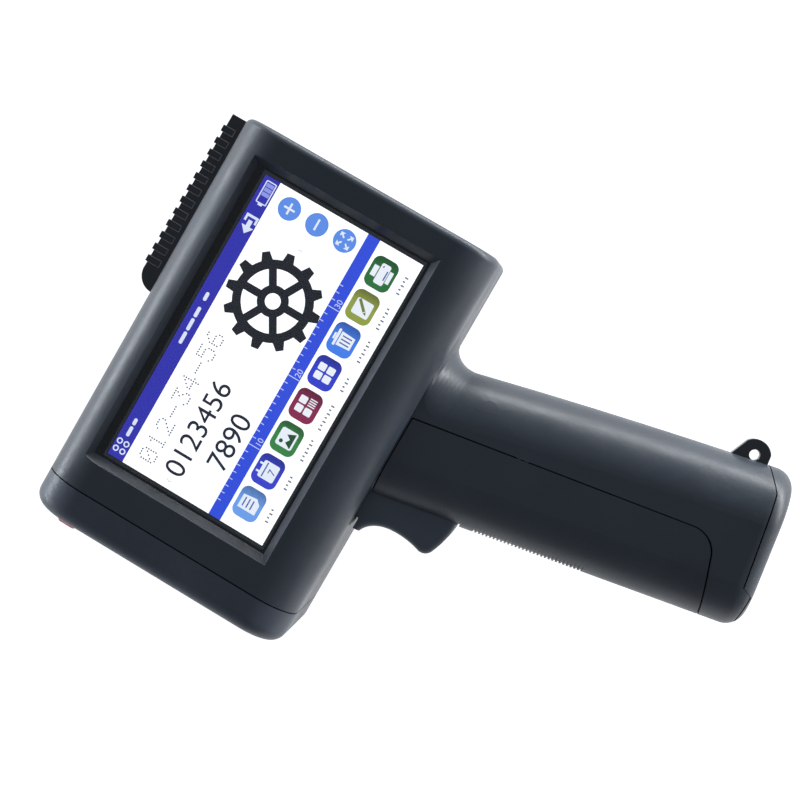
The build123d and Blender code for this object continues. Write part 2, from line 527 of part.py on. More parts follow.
with BuildPart() as grip_cover:
    add(handle_outer.part)
    add(grip_side(SEAM_GAP), mode=Mode.INTERSECT)
    add(whole_inner.part, mode=Mode.SUBTRACT)
    cut_trigger_slot()
    block(SWITCH_RIB_X, SWITCH_RIB_Y, (HANDLE_Z[0] + WALL - 0.5, SWITCH_Z[0]))
    block(SWITCH_RIB_X, SWITCH_RIB_Y, (SWITCH_Z[1], HANDLE_Z[1] - WALL + 0.5))
    add(ridge_grooves.part, mode=Mode.SUBTRACT)
finish(grip_cover.part, "grip_cover")

# lanyard eye, with its foot behind the wall of the handle
with BuildPart() as lanyard_eye:
    with BuildSketch(Plane.XY.offset(EYE_Z[0])):
        with BuildLine():
            Polyline(EYE_LOW, EYE_FOOT[0], EYE_FOOT[1], EYE_TOP, EYE_ARC[0])
            RadiusArc(EYE_ARC[0], EYE_ARC[1], EYE_RADIUS)
            Line(EYE_ARC[1], EYE_LOW)
        make_face()
    extrude(amount=EYE_Z[1] - EYE_Z[0])
    fillet(edges().filter_by(Axis.Z).sort_by(Axis.X)[-1], SMALL_ROUND)
    rod_z([EYE_CENTRE], EYE_HOLE, EYE_Z, mode=Mode.SUBTRACT)
    with BuildSketch(Plane.XY.offset(EYE_FOOT_Z[0])):
        with BuildLine():
            (low_x, low_y), (top_x, top_y) = EYE_FOOT
            before, behind = EYE_FOOT_THICK
            Polyline(
                (low_x - before, low_y),
                (low_x + behind, low_y),
                (top_x + behind, top_y),
                (top_x - before, top_y),
                close=True,
            )
        make_face()
    extrude(amount=EYE_FOOT_Z[1] - EYE_FOOT_Z[0])
finish(lanyard_eye.part, "lanyard_eye")

# ---------------------------------------------------------------- display
with BuildPart() as touch_glass:
    block(GLASS_X, GLASS_Y, (GLASS_TOP - GLASS[2], GLASS_TOP))
finish(touch_glass.part, "touch_glass")

with BuildPart() as display_gasket:
    gasket_z = (PANEL_TOP, PANEL_TOP + GASKET_THICK)
    block(grown(GLASS_X, -GASKET_EDGE), grown(GLASS_Y, -GASKET_EDGE), gasket_z)
    inner_x, inner_y = ((-half, half) for half in GASKET_INNER)
    block(inner_x, inner_y, gasket_z, mode=Mode.SUBTRACT)
finish(display_gasket.part, "display_gasket")

with BuildPart() as lcd_panel:
    block((-PANEL[0] / 2, PANEL[0] / 2), (-PANEL[1] / 2, PANEL[1] / 2), (PANEL_BACK, PANEL_TOP))
    fillet(edges().filter_by(Axis.Z), 0.8)
finish(lcd_panel.part, "lcd_panel")

with BuildPart() as display_bracket:
    bracket_z = (PANEL_BACK - BRACKET_THICK, PANEL_BACK)
    outer_x, outer_y = ((-half, half) for half in BRACKET_OUTER)
    inner_x, inner_y = ((-half, half) for half in BRACKET_INNER)
    block(outer_x, outer_y, bracket_z)
    block(inner_x, inner_y, bracket_z, mode=Mode.SUBTRACT)
    rod_z(BRACKET_SCREWS, SMALL_SHANK + FIT, bracket_z, mode=Mode.SUBTRACT)
finish(display_bracket.part, "display_bracket")

BRACKET_BACK = PANEL_BACK - BRACKET_THICK
BRACKET_HEAD = (BRACKET_BACK - SMALL_HEAD_HIGH, BRACKET_BACK)
screws("display_screws", BRACKET_SCREWS, (BRACKET_BACK, BRACKET_SCREW_TOP), BRACKET_HEAD)

with BuildPart() as main_board:
    block(MAIN_BOARD_X, MAIN_BOARD_Y, (MAIN_BOARD_Z, BOARD_TOP))
    fillet(edges().filter_by(Axis.Z), BOARD_ROUND)
    rod_z(BOARD_POSTS, SMALL_SHANK + FIT, (MAIN_BOARD_Z, BOARD_TOP), mode=Mode.SUBTRACT)
finish(main_board.part, "main_board")

with BuildPart() as board_standoffs:
    for post in BOARD_POSTS:
        with BuildSketch(Plane.XY.offset(BOARD_TOP)):
            with Locations(post):
                RegularPolygon(POST_RADIUS, 6)
        extrude(amount=BRACKET_BACK - BOARD_TOP)
    rod_z(BOARD_POSTS, SMALL_SHANK + FIT, (BOARD_TOP, BOARD_TOP + 3.4), mode=Mode.SUBTRACT)
finish(board_standoffs.part, "board_standoffs")

BOARD_HEAD = (MAIN_BOARD_Z - SMALL_HEAD_HIGH, MAIN_BOARD_Z)
screws("board_screws", BOARD_POSTS, (MAIN_BOARD_Z, BOARD_TOP + 3), BOARD_HEAD)

with BuildPart() as main_chips:
    for chip_x, chip_y, high in MAIN_CHIPS:
        block(chip_x, chip_y, (BOARD_TOP, BOARD_TOP + high))
    rod_z(MAIN_CAPACITORS, 2.5, (BOARD_TOP, BOARD_TOP + 3.4))
finish(main_chips.part, "main_chips")

with BuildPart() as clock_battery:
    rod_z([CLOCK_CELL_AT], CLOCK_CELL_RADIUS, (BOARD_TOP + 0.4, BOARD_TOP + 2.4))
    clip_x = grown((CLOCK_CELL_AT[0], CLOCK_CELL_AT[0]), 7.0)
    clip_y = grown((CLOCK_CELL_AT[1], CLOCK_CELL_AT[1]), 2.5)
    block(clip_x, clip_y, (BOARD_TOP, BOARD_TOP + 0.4))
finish(clock_battery.part, "clock_battery")

# the display's flat cable, folded round from the back of the panel to the board
with BuildPart() as display_ribbon:
    with BuildSketch(Plane.YZ.offset(DISPLAY_RIBBON_X)):
        with BuildLine():
            high, low = PANEL_BACK - 0.2, BOARD_TOP + 0.2
            FilletPolyline((-29.0, high), (-35.5, high), (-35.5, low), (-26.5, low), radius=2.0)
        trace(line_width=RIBBON_THICK)
    extrude(amount=DISPLAY_RIBBON_WIDE)
finish(display_ribbon.part, "display_ribbon")

# ---------------------------------------------------------------- low boards, sockets and switch
for name, board_x, board_y, holes in (
    ("driver_board", DRIVER_BOARD_X, DRIVER_BOARD_Y, LOW_SCREWS[:4]),
    ("io_board", IO_BOARD_X, IO_BOARD_Y, LOW_SCREWS[4:]),
):
    with BuildPart() as board:
        block(board_x, board_y, (LOW_BOARD_Z, LOW_TOP))
        fillet(edges().filter_by(Axis.Z), BOARD_ROUND)
        rod_z(holes, SMALL_SHANK + FIT, (LOW_BOARD_Z, LOW_TOP), mode=Mode.SUBTRACT)
    finish(board.part, name)

with BuildPart() as driver_chips:
    with Locations(Location((DRIVER_CHIPS_AT[0], DRIVER_CHIPS_AT[1], LOW_TOP + 0.75))):
        with GridLocations(9.0, 11.0, 4, 2):
            Box(6.0, 4.0, 1.5)
    rod_z(DRIVER_CAPACITORS, 4.0, (LOW_TOP, LOW_TOP + 9.0))
finish(driver_chips.part, "driver_chips")

with BuildPart() as buzzer:
    rod_z([BUZZER_AT], BUZZER_RADIUS, (LOW_TOP, LOW_TOP + BUZZER_HIGH))
    rod_z([BUZZER_AT], BUZZER_HOLE, (LOW_TOP + BUZZER_HIGH - 2, LOW_TOP + BUZZER_HIGH), mode=Mode.SUBTRACT)
finish(buzzer.part, "buzzer")

screws("low_board_screws", LOW_SCREWS, (LOW_SCREW_FOOT, LOW_TOP), (LOW_TOP, LOW_TOP + SMALL_HEAD_HIGH))

with BuildPart() as usb_port:
    block(USB_X, USB_Y, USB_Z)
    mouth_y, mouth_z = grown(USB_Y, -USB_WALL[0]), grown(USB_Z, -USB_WALL[1])
    block((USB_BACK, USB_X[1]), mouth_y, mouth_z, mode=Mode.SUBTRACT)
    block((USB_BACK - 1, USB_X[1] - 1), USB_TONGUE_Y, USB_TONGUE_Z)
finish(usb_port.part, "usb_port")

with BuildPart() as charge_jack:
    jack_y, jack_z = sum(JACK_Y) / 2, sum(JACK_Z) / 2
    block(JACK_X, JACK_Y, JACK_Z)
    rod_x(jack_y, jack_z, JACK_BORE, (JACK_BACK, JACK_X[1]), mode=Mode.SUBTRACT)
    rod_x(jack_y, jack_z, JACK_PIN, (JACK_BACK - 1, JACK_X[1] - 1.3))
finish(charge_jack.part, "charge_jack")

with BuildPart() as power_switch:
    switch_y = grown((BUTTON_Y, BUTTON_Y), POWER_SWITCH_HALF)
    block(POWER_SWITCH_X, switch_y, (LOW_TOP, BUTTON_Z + POWER_SWITCH_HALF))
    rod_x(BUTTON_Y, BUTTON_Z, 1.4, (POWER_SWITCH_X[1], POWER_SWITCH_X[1] + 1))
finish(power_switch.part, "power_switch")

with BuildPart() as power_button:
    rod_x(BUTTON_Y, BUTTON_Z, BUTTON_RADIUS, (BUTTON_BACK, REAR + BUTTON_PROUD))
    fillet(faces().sort_by(Axis.X)[-1].edges(), 0.6)
    rod_x(BUTTON_Y, BUTTON_Z, BUTTON_RADIUS + BUTTON_RIM, (BUTTON_BACK, BUTTON_BACK + 1))
    rod_x(BUTTON_Y, BUTTON_Z, 1.3, (BUTTON_BACK - 0.9, BUTTON_BACK))
finish(power_button.part, "power_button")

# ---------------------------------------------------------------- cartridge slide and contacts
with BuildPart() as slide_rails:
    for side in (-1, 1):
        foot_y = sorted(side * y for y in RAIL_FOOT_Y)
        web_y = sorted(side * y for y in RAIL_WEB_Y)
        block(RAIL_X, foot_y, (WALL, RAIL_FOOT_TOP))
        block(RAIL_X, web_y, (RAIL_FOOT_TOP, TRAY_Z[0] - RAIL_GAP))
finish(slide_rails.part, "slide_rails")

with BuildPart() as cartridge_slide:
    block(SLIDE_X, TRAY_Y, (TRAY_Z[0], TRAY_Z[0] + TRAY_WALL))
    block(SLIDE_X, (TRAY_Y[1] - TRAY_WALL, TRAY_Y[1]), TRAY_Z)
    block(TRAY_SIDE_X, (TRAY_Y[0], TRAY_Y[0] + TRAY_WALL), TRAY_Z)
    for wall_x, wall_top in TRAY_WALLS:
        block(wall_x, TRAY_Y, (TRAY_Z[0], wall_top))
    block((SLIDE_X[1], REAR), DOOR_Y, DOOR_Z)
    block(NECK_X, (TRAY_Y[1], GRIP_Y[0]), NECK_Z)
    block((NECK_X[1], GRIP_X[1]), (DOOR_Y[1], GRIP_Y[0]), NECK_Z)
finish(cartridge_slide.part, "cartridge_slide")


def grip_top(x):
    """Height of the top of the slide grip."""
    return GRIP_Y[1] - GRIP_FALL * (x - GRIP_X[0])


# ribbed grip: a block with a rounded ramp at its front and finger ribs across its top
with BuildPart() as slide_grip:
    with BuildSketch(Plane.XY.offset(GRIP_Z[0])):
        with BuildLine():
            nose = (GRIP_X[0] + 0.2, GRIP_Y[0] + 1.6)
            ramp_middle = (GRIP_X[0] + 1.9, GRIP_Y[0] + 4.6)
            ramp_top = (GRIP_X[0] + 6.5, grip_top(GRIP_X[0] + 6.5) - 0.4)
            ThreePointArc(nose, ramp_middle, ramp_top)
            rear_top = (GRIP_X[1], grip_top(GRIP_X[1]) - 0.4)
            Polyline(ramp_top, rear_top, (GRIP_X[1], GRIP_Y[0]), (GRIP_X[0], GRIP_Y[0]), nose)
        make_face()
    extrude(amount=GRIP_Z[1] - GRIP_Z[0])
    for k in range(RIB_COUNT):
        rib_x = RIB_FIRST + k * RIB_PITCH
        rib_y = (GRIP_Y[0] + 2.0, grip_top(rib_x) + RIB_PROUD)
        block((rib_x - RIB_HALF, rib_x + RIB_HALF), rib_y, grown(GRIP_Z, RIB_OVERHANG))
finish(slide_grip.part, "slide_grip")

with BuildPart() as pen_clamp:
    block((PEN_X[1], PEN_X[1] + CLAMP_THICK), CLAMP_Y, (TRAY_Z[0] + TRAY_WALL, CLAMP_TOP))
finish(pen_clamp.part, "pen_clamp")

with BuildPart() as clamp_springs:
    spring_x = PEN_X[1] + CLAMP_THICK + CLAMP_WIRE
    length = TRAY_WALLS[0][0][0] - CLAMP_WIRE - spring_x
    for spring_y in CLAMP_SPRING_Y:
        start = (spring_x, spring_y, CLAMP_SPRING_Z)
        with BuildLine() as coil:
            Helix(length / CLAMP_TURNS, length, CLAMP_SPRING_RADIUS, center=start, direction=(1, 0, 0))
        with BuildSketch(Plane(origin=coil.line @ 0, z_dir=coil.line % 0)):
            Circle(CLAMP_WIRE)
        sweep(path=coil.line)
finish(clamp_springs.part, "clamp_springs")

with BuildPart() as ink_cartridge:
    block((PEN_X[0], PEN_X[1] - LID_THICK), PEN_Y, PEN_Z)
    fillet(edges().filter_by(Axis.X), 1.5)
    block(SNOUT_X, SNOUT_Y, SNOUT_Z)
    fillet(edges().filter_by(Axis.X).group_by(Axis.X)[0], 1.0)
finish(ink_cartridge.part, "ink_cartridge")

with BuildPart() as cartridge_lid:
    block((PEN_X[1] - LID_THICK, PEN_X[1]), PEN_Y, PEN_Z)
    fillet(edges().filter_by(Axis.X), 1.5)
finish(cartridge_lid.part, "cartridge_lid")

with BuildPart() as cartridge_nozzle:
    block((SNOUT_X[0] - NOZZLE_THICK, SNOUT_X[0]), NOZZLE_Y, NOZZLE_Z)
finish(cartridge_nozzle.part, "cartridge_nozzle")

with BuildPart() as cartridge_flex:
    block(FLEX_X, (PEN_Y[0] - FLEX_THICK, PEN_Y[0]), FLEX_Z)
finish(cartridge_flex.part, "cartridge_flex")

with BuildPart() as contact_block:
    block(CONTACT_X, CONTACT_Y, CONTACT_Z)
    fillet(edges().filter_by(Axis.Y), 1.0)
    for pin_x, pin_z in CONTACTS:
        hole_y = (CONTACT_Y[1] - CONTACT_DEEP, CONTACT_Y[1])
        rod_y(pin_x, pin_z, CONTACT_RADIUS + 0.02, hole_y, mode=Mode.SUBTRACT)
finish(contact_block.part, "contact_block")

with BuildPart() as contact_pins:
    for pin_x, pin_z in CONTACTS:
        rod_y(pin_x, pin_z, CONTACT_RADIUS, (CONTACT_Y[1] - CONTACT_DEEP, PEN_Y[0] - 0.5))
finish(contact_pins.part, "contact_pins")

with BuildPart() as head_ribbon:
    with BuildSketch(Plane.YZ.offset(HEAD_RIBBON_X)):
        with BuildLine():
            low = LOW_TOP + 0.2
            FilletPolyline((-19.0, low), (-39.4, low), (-39.4, CONTACT_Z[0]), radius=2.5)
        trace(line_width=RIBBON_THICK)
    extrude(amount=HEAD_RIBBON_WIDE)
finish(head_ribbon.part, "head_ribbon")


# ---------------------------------------------------------------- nose wheels
def ring_of(count, reach, axis_z, start=0.0):
    """Points spread round a wheel's axis, as x and z."""
    turns = [2 * math.pi * (k + start) / count for k in range(count)]
    return [(WHEEL_AXIS_X + reach * math.cos(t), axis_z + reach * math.sin(t)) for t in turns]


def wheel_hub(axis_z):
    """A wheel hub with lightening holes, bored for its axle."""
    with BuildPart() as hub:
        rod_y(WHEEL_AXIS_X, axis_z, HUB_RADIUS, grown(WHEEL_Y, -0.3))
        rod_y(WHEEL_AXIS_X, axis_z, HUB_CORE_RADIUS, grown(WHEEL_Y, HUB_CORE_PROUD))
        rod_y(WHEEL_AXIS_X, axis_z, AXLE_RADIUS, grown(WHEEL_Y, 2), mode=Mode.SUBTRACT)
        for hole_x, hole_z in ring_of(HUB_HOLES, HUB_HOLE_REACH, axis_z):
            rod_y(hole_x, hole_z, HUB_HOLE_RADIUS, grown(WHEEL_Y, 2), mode=Mode.SUBTRACT)
    return hub.part


def wheel_tyre(axis_z):
    """A rubber tyre with rounded shoulders and a grooved tread."""
    with BuildPart() as tyre:
        rod_y(WHEEL_AXIS_X, axis_z, WHEEL_RADIUS, WHEEL_Y)
        fillet(edges().filter_by(GeomType.CIRCLE), TYRE_SHOULDER)
        rod_y(WHEEL_AXIS_X, axis_z, HUB_RADIUS, grown(WHEEL_Y, 1), mode=Mode.SUBTRACT)
        for groove_x, groove_z in ring_of(TREAD_GROOVES, WHEEL_RADIUS + 0.15, axis_z, 0.5):
            rod_y(groove_x, groove_z, TREAD_GROOVE_RADIUS, grown(WHEEL_Y, 1), mode=Mode.SUBTRACT)
    return tyre.part


for name, axis_z in (("encoder", ENCODER_Z), ("guide", GUIDE_Z)):
    finish(wheel_hub(axis_z), f"{name}_wheel")
    finish(wheel_tyre(axis_z), f"{name}_tyre")
    with BuildPart() as axle:
        rod_y(WHEEL_AXIS_X, axis_z, AXLE_RADIUS, AXLE_Y)
    finish(axle.part, f"{name}_axle")

with BuildPart() as nose_bushes:
    for axis_z in (ENCODER_Z, GUIDE_Z):
        for bush_y in BUSH_Y:
            rod_y(WHEEL_AXIS_X, axis_z, BUSH_RADIUS, bush_y)
            rod_y(WHEEL_AXIS_X, axis_z, BUSH_BORE, bush_y, mode=Mode.SUBTRACT)
finish(nose_bushes.part, "nose_bushes")

with BuildPart() as encoder_magnet:
    rod_y(WHEEL_AXIS_X, ENCODER_Z, MAGNET_RADIUS, (AXLE_Y[0] - MAGNET_LENGTH, AXLE_Y[0]))
finish(encoder_magnet.part, "encoder_magnet")

with BuildPart() as encoder_board:
    board_y = ENCODER_BOARD_Y
    block((NOSE_FRONT + WALL, BUSH_RIB_REAR), board_y, ENCODER_BOARD_Z)
    chip_x = grown((WHEEL_AXIS_X, WHEEL_AXIS_X), ENCODER_CHIP)
    chip_z = grown((ENCODER_Z, ENCODER_Z), ENCODER_CHIP)
    block(chip_x, (board_y[1], board_y[1] + BOARD_THICK), chip_z)
finish(encoder_board.part, "encoder_board")

# ---------------------------------------------------------------- trigger
# its finger face is one smooth curve from under the body to the rounded tip
FINGER_FACE = [(-31.6, -48.1), (-28.5, -50.6), (-26.8, -54.5), (-26.4, -58.5), (-26.7, -62.5), (-27.6, -66.4)]
TIP_FRONT, TIP_LOW = ((-27.3, -68.9), (-25.3, -70.5)), ((-20.3, -72.1), (-14.5, -72.6))
TIP_REAR = (-12.2, -71.0)
HIDDEN_SIDE = [(-12.2, -47.0), (-18.8, -37.8), (-25.0, -37.8), (-28.2, -46.1), (-31.6, -46.1)]
HOLLOW_X, HOLLOW_Y = (-22.0, -11.0), (-69.5, -49.0)

with BuildPart() as trigger:
    with BuildSketch(Plane.XY.offset(TRIGGER_Z[0])):
        with BuildLine():
            Line(HIDDEN_SIDE[-1], FINGER_FACE[0])
            Spline(*FINGER_FACE)
            ThreePointArc(FINGER_FACE[-1], *TIP_FRONT)
            ThreePointArc(TIP_FRONT[1], *TIP_LOW)
            Polyline(TIP_LOW[1], TIP_REAR, *HIDDEN_SIDE)
        make_face()
    extrude(amount=TRIGGER_Z[1] - TRIGGER_Z[0])
    rim = edges().filter_by(GeomType.BSPLINE) + edges().filter_by(GeomType.CIRCLE)
    fillet(rim, TRIGGER_ROUND)
    block(HOLLOW_X, HOLLOW_Y, grown(TRIGGER_Z, -TRIGGER_WALL), mode=Mode.SUBTRACT)
    rod_z([PIVOT], PIVOT_PIN_RADIUS + PIVOT_GAP, TRIGGER_Z, mode=Mode.SUBTRACT)
finish(trigger.part, "trigger")

with BuildPart() as trigger_pin:
    rod_z([PIVOT], PIVOT_PIN_RADIUS, TRIGGER_PIN_Z)
finish(trigger_pin.part, "trigger_pin")

with BuildPart() as trigger_spring:
    with BuildLine() as coil:
        pitch = TRIGGER_WIRE * 2 + 0.35
        Helix(pitch, pitch * TRIGGER_SPRING_TURNS, TRIGGER_SPRING_RADIUS, center=(*PIVOT, TRIGGER_Z[1] + 0.7))
    with BuildSketch(Plane(origin=coil.line @ 0, z_dir=coil.line % 0)):
        Circle(TRIGGER_WIRE)
    sweep(path=coil.line)
finish(trigger_spring.part, "trigger_spring")

with BuildPart() as trigger_switch:
    plunger_x, plunger_y, plunger_radius = SWITCH_PLUNGER
    block(SWITCH_X, SWITCH_Y, SWITCH_Z)
    rod_x(plunger_y, PARTING, plunger_radius, (plunger_x, SWITCH_X[0]))
finish(trigger_switch.part, "trigger_switch")

# ---------------------------------------------------------------- battery pack
UP = (-math.sin(RAKE), math.cos(RAKE), 0)
ACROSS = (math.cos(RAKE), math.sin(RAKE), 0)


def pack_plane(rise):
    """A plane square to the handle, at a height above the foot of the pack."""
    x = PACK_FOOT[0] + UP[0] * rise
    y = PACK_FOOT[1] + UP[1] * rise
    return Plane(origin=(x, y, PARTING), x_dir=ACROSS, z_dir=UP)


with BuildPart() as battery_case:
    with BuildSketch(pack_plane(0.0)):
        SlotOverall(PACK_WIDE, PACK_THICK)
    extrude(amount=PACK_LENGTH)
    with BuildSketch(pack_plane(PACK_END)):
        SlotOverall(PACK_WIDE - 2 * PACK_WALL, PACK_THICK - 2 * PACK_WALL)
    extrude(amount=PACK_LENGTH - PACK_END - 1.2, mode=Mode.SUBTRACT)
finish(battery_case.part, "battery_case")

with BuildPart() as battery_cells:
    with BuildSketch(pack_plane(PACK_END + 0.1)):
        with Locations((-CELL_OFFSET, 0), (CELL_OFFSET, 0)):
            Circle(CELL_RADIUS)
    extrude(amount=CELL_LENGTH)
finish(battery_cells.part, "battery_cells")

with BuildPart() as battery_terminals:
    with BuildSketch(pack_plane(PACK_LENGTH)):
        with Locations([(x, 0) for x in TERMINALS_ACROSS]):
            Rectangle(TERMINAL[0], TERMINAL[1])
    extrude(amount=TERMINAL[2])
finish(battery_terminals.part, "battery_terminals")

with BuildPart() as battery_cap:
    add(handle_outer.part)
    add(butt_side(SEAM_GAP), mode=Mode.INTERSECT)
    with BuildSketch(pack_plane(0.0)):
        SlotOverall(PACK_WIDE - 3.0, PACK_THICK - 3.0)
    extrude(amount=-CAP_PLUG)
finish(battery_cap.part, "battery_cap")

with BuildPart() as battery_socket:
    with BuildSketch(pack_plane(PACK_LENGTH + SOCKET_GAP)):
        Rectangle(SOCKET_WIDE, HANDLE_Z[1] - HANDLE_Z[0] - 2 * WALL)
    extrude(amount=SOCKET_THICK)
    with BuildSketch(pack_plane(PACK_LENGTH + SOCKET_GAP - SOCKET_PIN_LENGTH)):
        with Locations([(x, 0) for x in TERMINALS_ACROSS]):
            Circle(SOCKET_PIN_RADIUS)
    extrude(amount=SOCKET_PIN_LENGTH)
finish(battery_socket.part, "battery_socket")
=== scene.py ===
import json
import math

import bmesh
import bpy
from mathutils import Matrix, Vector


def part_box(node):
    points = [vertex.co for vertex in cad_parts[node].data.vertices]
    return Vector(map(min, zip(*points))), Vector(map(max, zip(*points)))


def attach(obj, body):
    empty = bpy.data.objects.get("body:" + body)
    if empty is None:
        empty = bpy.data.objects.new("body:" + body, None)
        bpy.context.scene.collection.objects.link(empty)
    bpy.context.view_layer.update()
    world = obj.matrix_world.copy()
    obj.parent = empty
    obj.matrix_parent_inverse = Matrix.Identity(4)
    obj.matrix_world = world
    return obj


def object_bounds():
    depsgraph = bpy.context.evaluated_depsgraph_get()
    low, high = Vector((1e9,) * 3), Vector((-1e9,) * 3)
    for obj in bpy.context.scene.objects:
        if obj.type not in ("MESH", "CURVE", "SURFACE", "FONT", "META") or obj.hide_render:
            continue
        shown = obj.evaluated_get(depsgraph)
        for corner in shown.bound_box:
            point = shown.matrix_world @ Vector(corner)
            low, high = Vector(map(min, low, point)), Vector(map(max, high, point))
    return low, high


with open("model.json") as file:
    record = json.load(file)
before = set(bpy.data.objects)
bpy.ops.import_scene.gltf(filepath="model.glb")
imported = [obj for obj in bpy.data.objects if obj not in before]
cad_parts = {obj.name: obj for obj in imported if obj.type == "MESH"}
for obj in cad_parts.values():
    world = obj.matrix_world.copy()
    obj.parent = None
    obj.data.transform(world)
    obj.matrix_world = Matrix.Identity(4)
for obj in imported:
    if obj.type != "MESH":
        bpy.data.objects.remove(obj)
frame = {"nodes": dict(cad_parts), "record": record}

CAD_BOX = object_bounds()
MM = 0.001
NODES = frame["nodes"]


def middle(node):
    """The middle of a CAD node's box."""
    low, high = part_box(node)
    return (low + high) / 2


DISPLAY = Vector((middle("lcd_panel").x, middle("lcd_panel").y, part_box("touch_glass")[1].z))
LCD_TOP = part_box("lcd_panel")[1].z
GLASS_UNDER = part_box("touch_glass")[0].z


# ------------------------------------------------------------------ materials
ALL_ROUND = (1, 1, 1)
UNLIT = (0.004, 0.004, 0.005, 1.0)  # the body colour of the lit materials

# the window's bevel: its lower edge lies inside the glass's by the inset, and it runs outwards and
# up from there; nothing further under the glass's top than the margin belongs to it
WINDOW_INSET = (2.0 * MM, 1.8 * MM)
BEVEL_RUN = 2.27 * MM
BEVEL_MARGIN = 0.1 * MM


def srgb(r, g, b):
    """A colour given as 0-255 screen values, in the linear values that shaders take."""
    screen = (r, g, b)
    linear = (((c / 255 + 0.055) / 1.055) ** 2.4 if c > 10 else c / 255 / 12.92 for c in screen)
    return tuple(linear) + (1.0,)


def dimmed(colour, shares):
    """A colour with its red, green and blue each multiplied by a share."""
    return tuple(c * share for c, share in zip(colour[:3], shares)) + (1.0,)


class Look:
    """A procedural material, built round one Principled shader. Its textures are in metres."""

    def __init__(self, name, **sockets):
        self.material = bpy.data.materials.new(name)
        self.material.use_nodes = True
        self.tree = self.material.node_tree
        self.shader = self.tree.nodes["Principled BSDF"]
        self.place = self.tree.nodes.new("ShaderNodeTexCoord").outputs["Object"]
        for socket, value in sockets.items():
            self.fix(socket.replace("_", " "), value)

    def fix(self, socket, value):
        """Gives a socket of the shader one value all over."""
        self.shader.inputs[socket].default_value = value

    def set(self, socket, value):
        """Links a varying value to a socket of the shader."""
        self.tree.links.new(value, self.shader.inputs[socket])

    def node(self, kind, inputs=None, **settings):
        """Adds a shader node; inputs are values or links by socket name."""
        made = self.tree.nodes.new("ShaderNode" + kind)
        for key, value in settings.items():
            setattr(made, key, value)
        for key, value in (inputs or {}).items():
            if isinstance(value, bpy.types.NodeSocket):
                self.tree.links.new(value, made.inputs[key])
            else:
                made.inputs[key].default_value = value
        return made

    def noise(self, size, detail=2.0, roughness=0.5, stretch=ALL_ROUND):
        """A noise whose features are about size millimetres across."""
        place = self.place
        if stretch != ALL_ROUND:
            place = self.node("Mapping", {"Vector": self.place, "Scale": stretch}).outputs[0]
        inputs = {"Vector": place, "Scale": 1 / (size * MM), "Detail": detail, "Roughness": roughness}
        return self.node("TexNoise", inputs).outputs["Fac"]

    def spread(self, value, low, high, from_low=0.3, from_high=0.7):
        """Maps a value from one range to another."""
        inputs = {0: value, 1: from_low, 2: from_high, 3: low, 4: high}
        return self.node("MapRange", inputs).outputs[0]

    def combined(self, first, second, operation="ADD"):
        """Two values added, or put together by another operation."""
        return self.node("Math", {0: first, 1: second}, operation=operation).outputs[0]

    def colours(self, factor, first, second):
        """A mix of two colours."""
        mix = self.node("Mix", {0: factor}, data_type="RGBA")
        for socket, colour in ((mix.inputs[6], first), (mix.inputs[7], second)):
            if isinstance(colour, bpy.types.NodeSocket):
                self.tree.links.new(colour, socket)
            else:
                socket.default_value = colour
        return mix.outputs[2]

    def paint(self, mask, colour):
        """Lays a colour over the base colour where the mask is 1."""
        plain = self.shader.inputs["Base Color"].links[0].from_socket
        self.set("Base Color", self.colours(mask, plain, colour))

    def bump(self, height, depth, strength=1.0):
        """A bump of the given depth in millimetres."""
        made = self.node("Bump", {"Height": height, "Distance": depth * MM, "Strength": strength})
        self.set("Normal", made.outputs[0])


def moulded(name, dark, light, roughness, grain=0.28, depth=0.02, gloss=0.4):
    """Moulded plastic: a fine spark texture, slow changes of tone and a little handling gloss."""
    look = Look(name, Specular_IOR_Level=gloss)
    tone = look.spread(look.noise(34, 3), 0.0, 1.0)
    flow = look.spread(look.noise(1.1, 3), -0.12, 0.12)
    look.set("Base Color", look.colours(look.combined(tone, flow), dark, light))
    worn = look.spread(look.noise(16, 4, 0.6), roughness - 0.05, roughness + 0.06)
    speck = look.spread(look.noise(0.6, 2), -0.05, 0.05)
    look.set("Roughness", look.combined(worn, speck))
    look.bump(look.noise(grain, 3, 0.6), depth, 0.6)
    return look


def painted_bevel_highlight(look, colour):
    """Paints a highlight on the handle side of the bevel round the window: a paler base tone in place
    of the light that side catches.
    """
    low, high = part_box("touch_glass")
    x, y, z = look.node("SeparateXYZ", {0: look.place}).outputs
    edge = low.y + WINDOW_INSET[1]
    corner = (high.x - low.x) / 2 - WINDOW_INSET[0] + edge
    beside = look.combined(x, (low.x + high.x) / 2, "SUBTRACT")
    aside = look.combined(beside, 0.0, "ABSOLUTE")
    mask = look.combined(look.combined(aside, y), corner, "LESS_THAN")
    for axis, least in ((y, edge - BEVEL_RUN), (z, high.z - BEVEL_MARGIN)):
        beyond = look.combined(axis, least, "GREATER_THAN")
        mask = look.combined(mask, beyond, "MULTIPLY")
    look.paint(mask, colour)


def painted_edge_highlights(look, colour, radius):
    """Paints a pale highlight on the sharp edges of a piece within the radius, in millimetres, in
    place of the glints of rounded edges.
    """
    rounded = look.node("Bevel", {"Radius": radius * MM}).outputs[0]
    flat = look.node("NewGeometry").outputs["Normal"]
    compared = look.node("VectorMath", {0: rounded, 1: flat}, operation="DOT_PRODUCT")
    look.paint(look.spread(compared.outputs["Value"], 1.0, 0.0, 0.8, 0.98), colour)


def turned_metal(name, dark, light, roughness, brush=(1, 1, 18)):
    """Metal with fine brush marks along one axis."""
    look = Look(name, Metallic=1.0)
    lines = look.noise(2.4, 4, 0.6, brush)
    patches = look.noise(3.0, 3, 0.5, brush)
    look.set("Base Color", look.colours(look.spread(lines, 0, 1), dark, light))
    look.set("Roughness", look.spread(patches, roughness - 0.08, roughness + 0.1))
    look.bump(lines, 0.004)
    return look.material


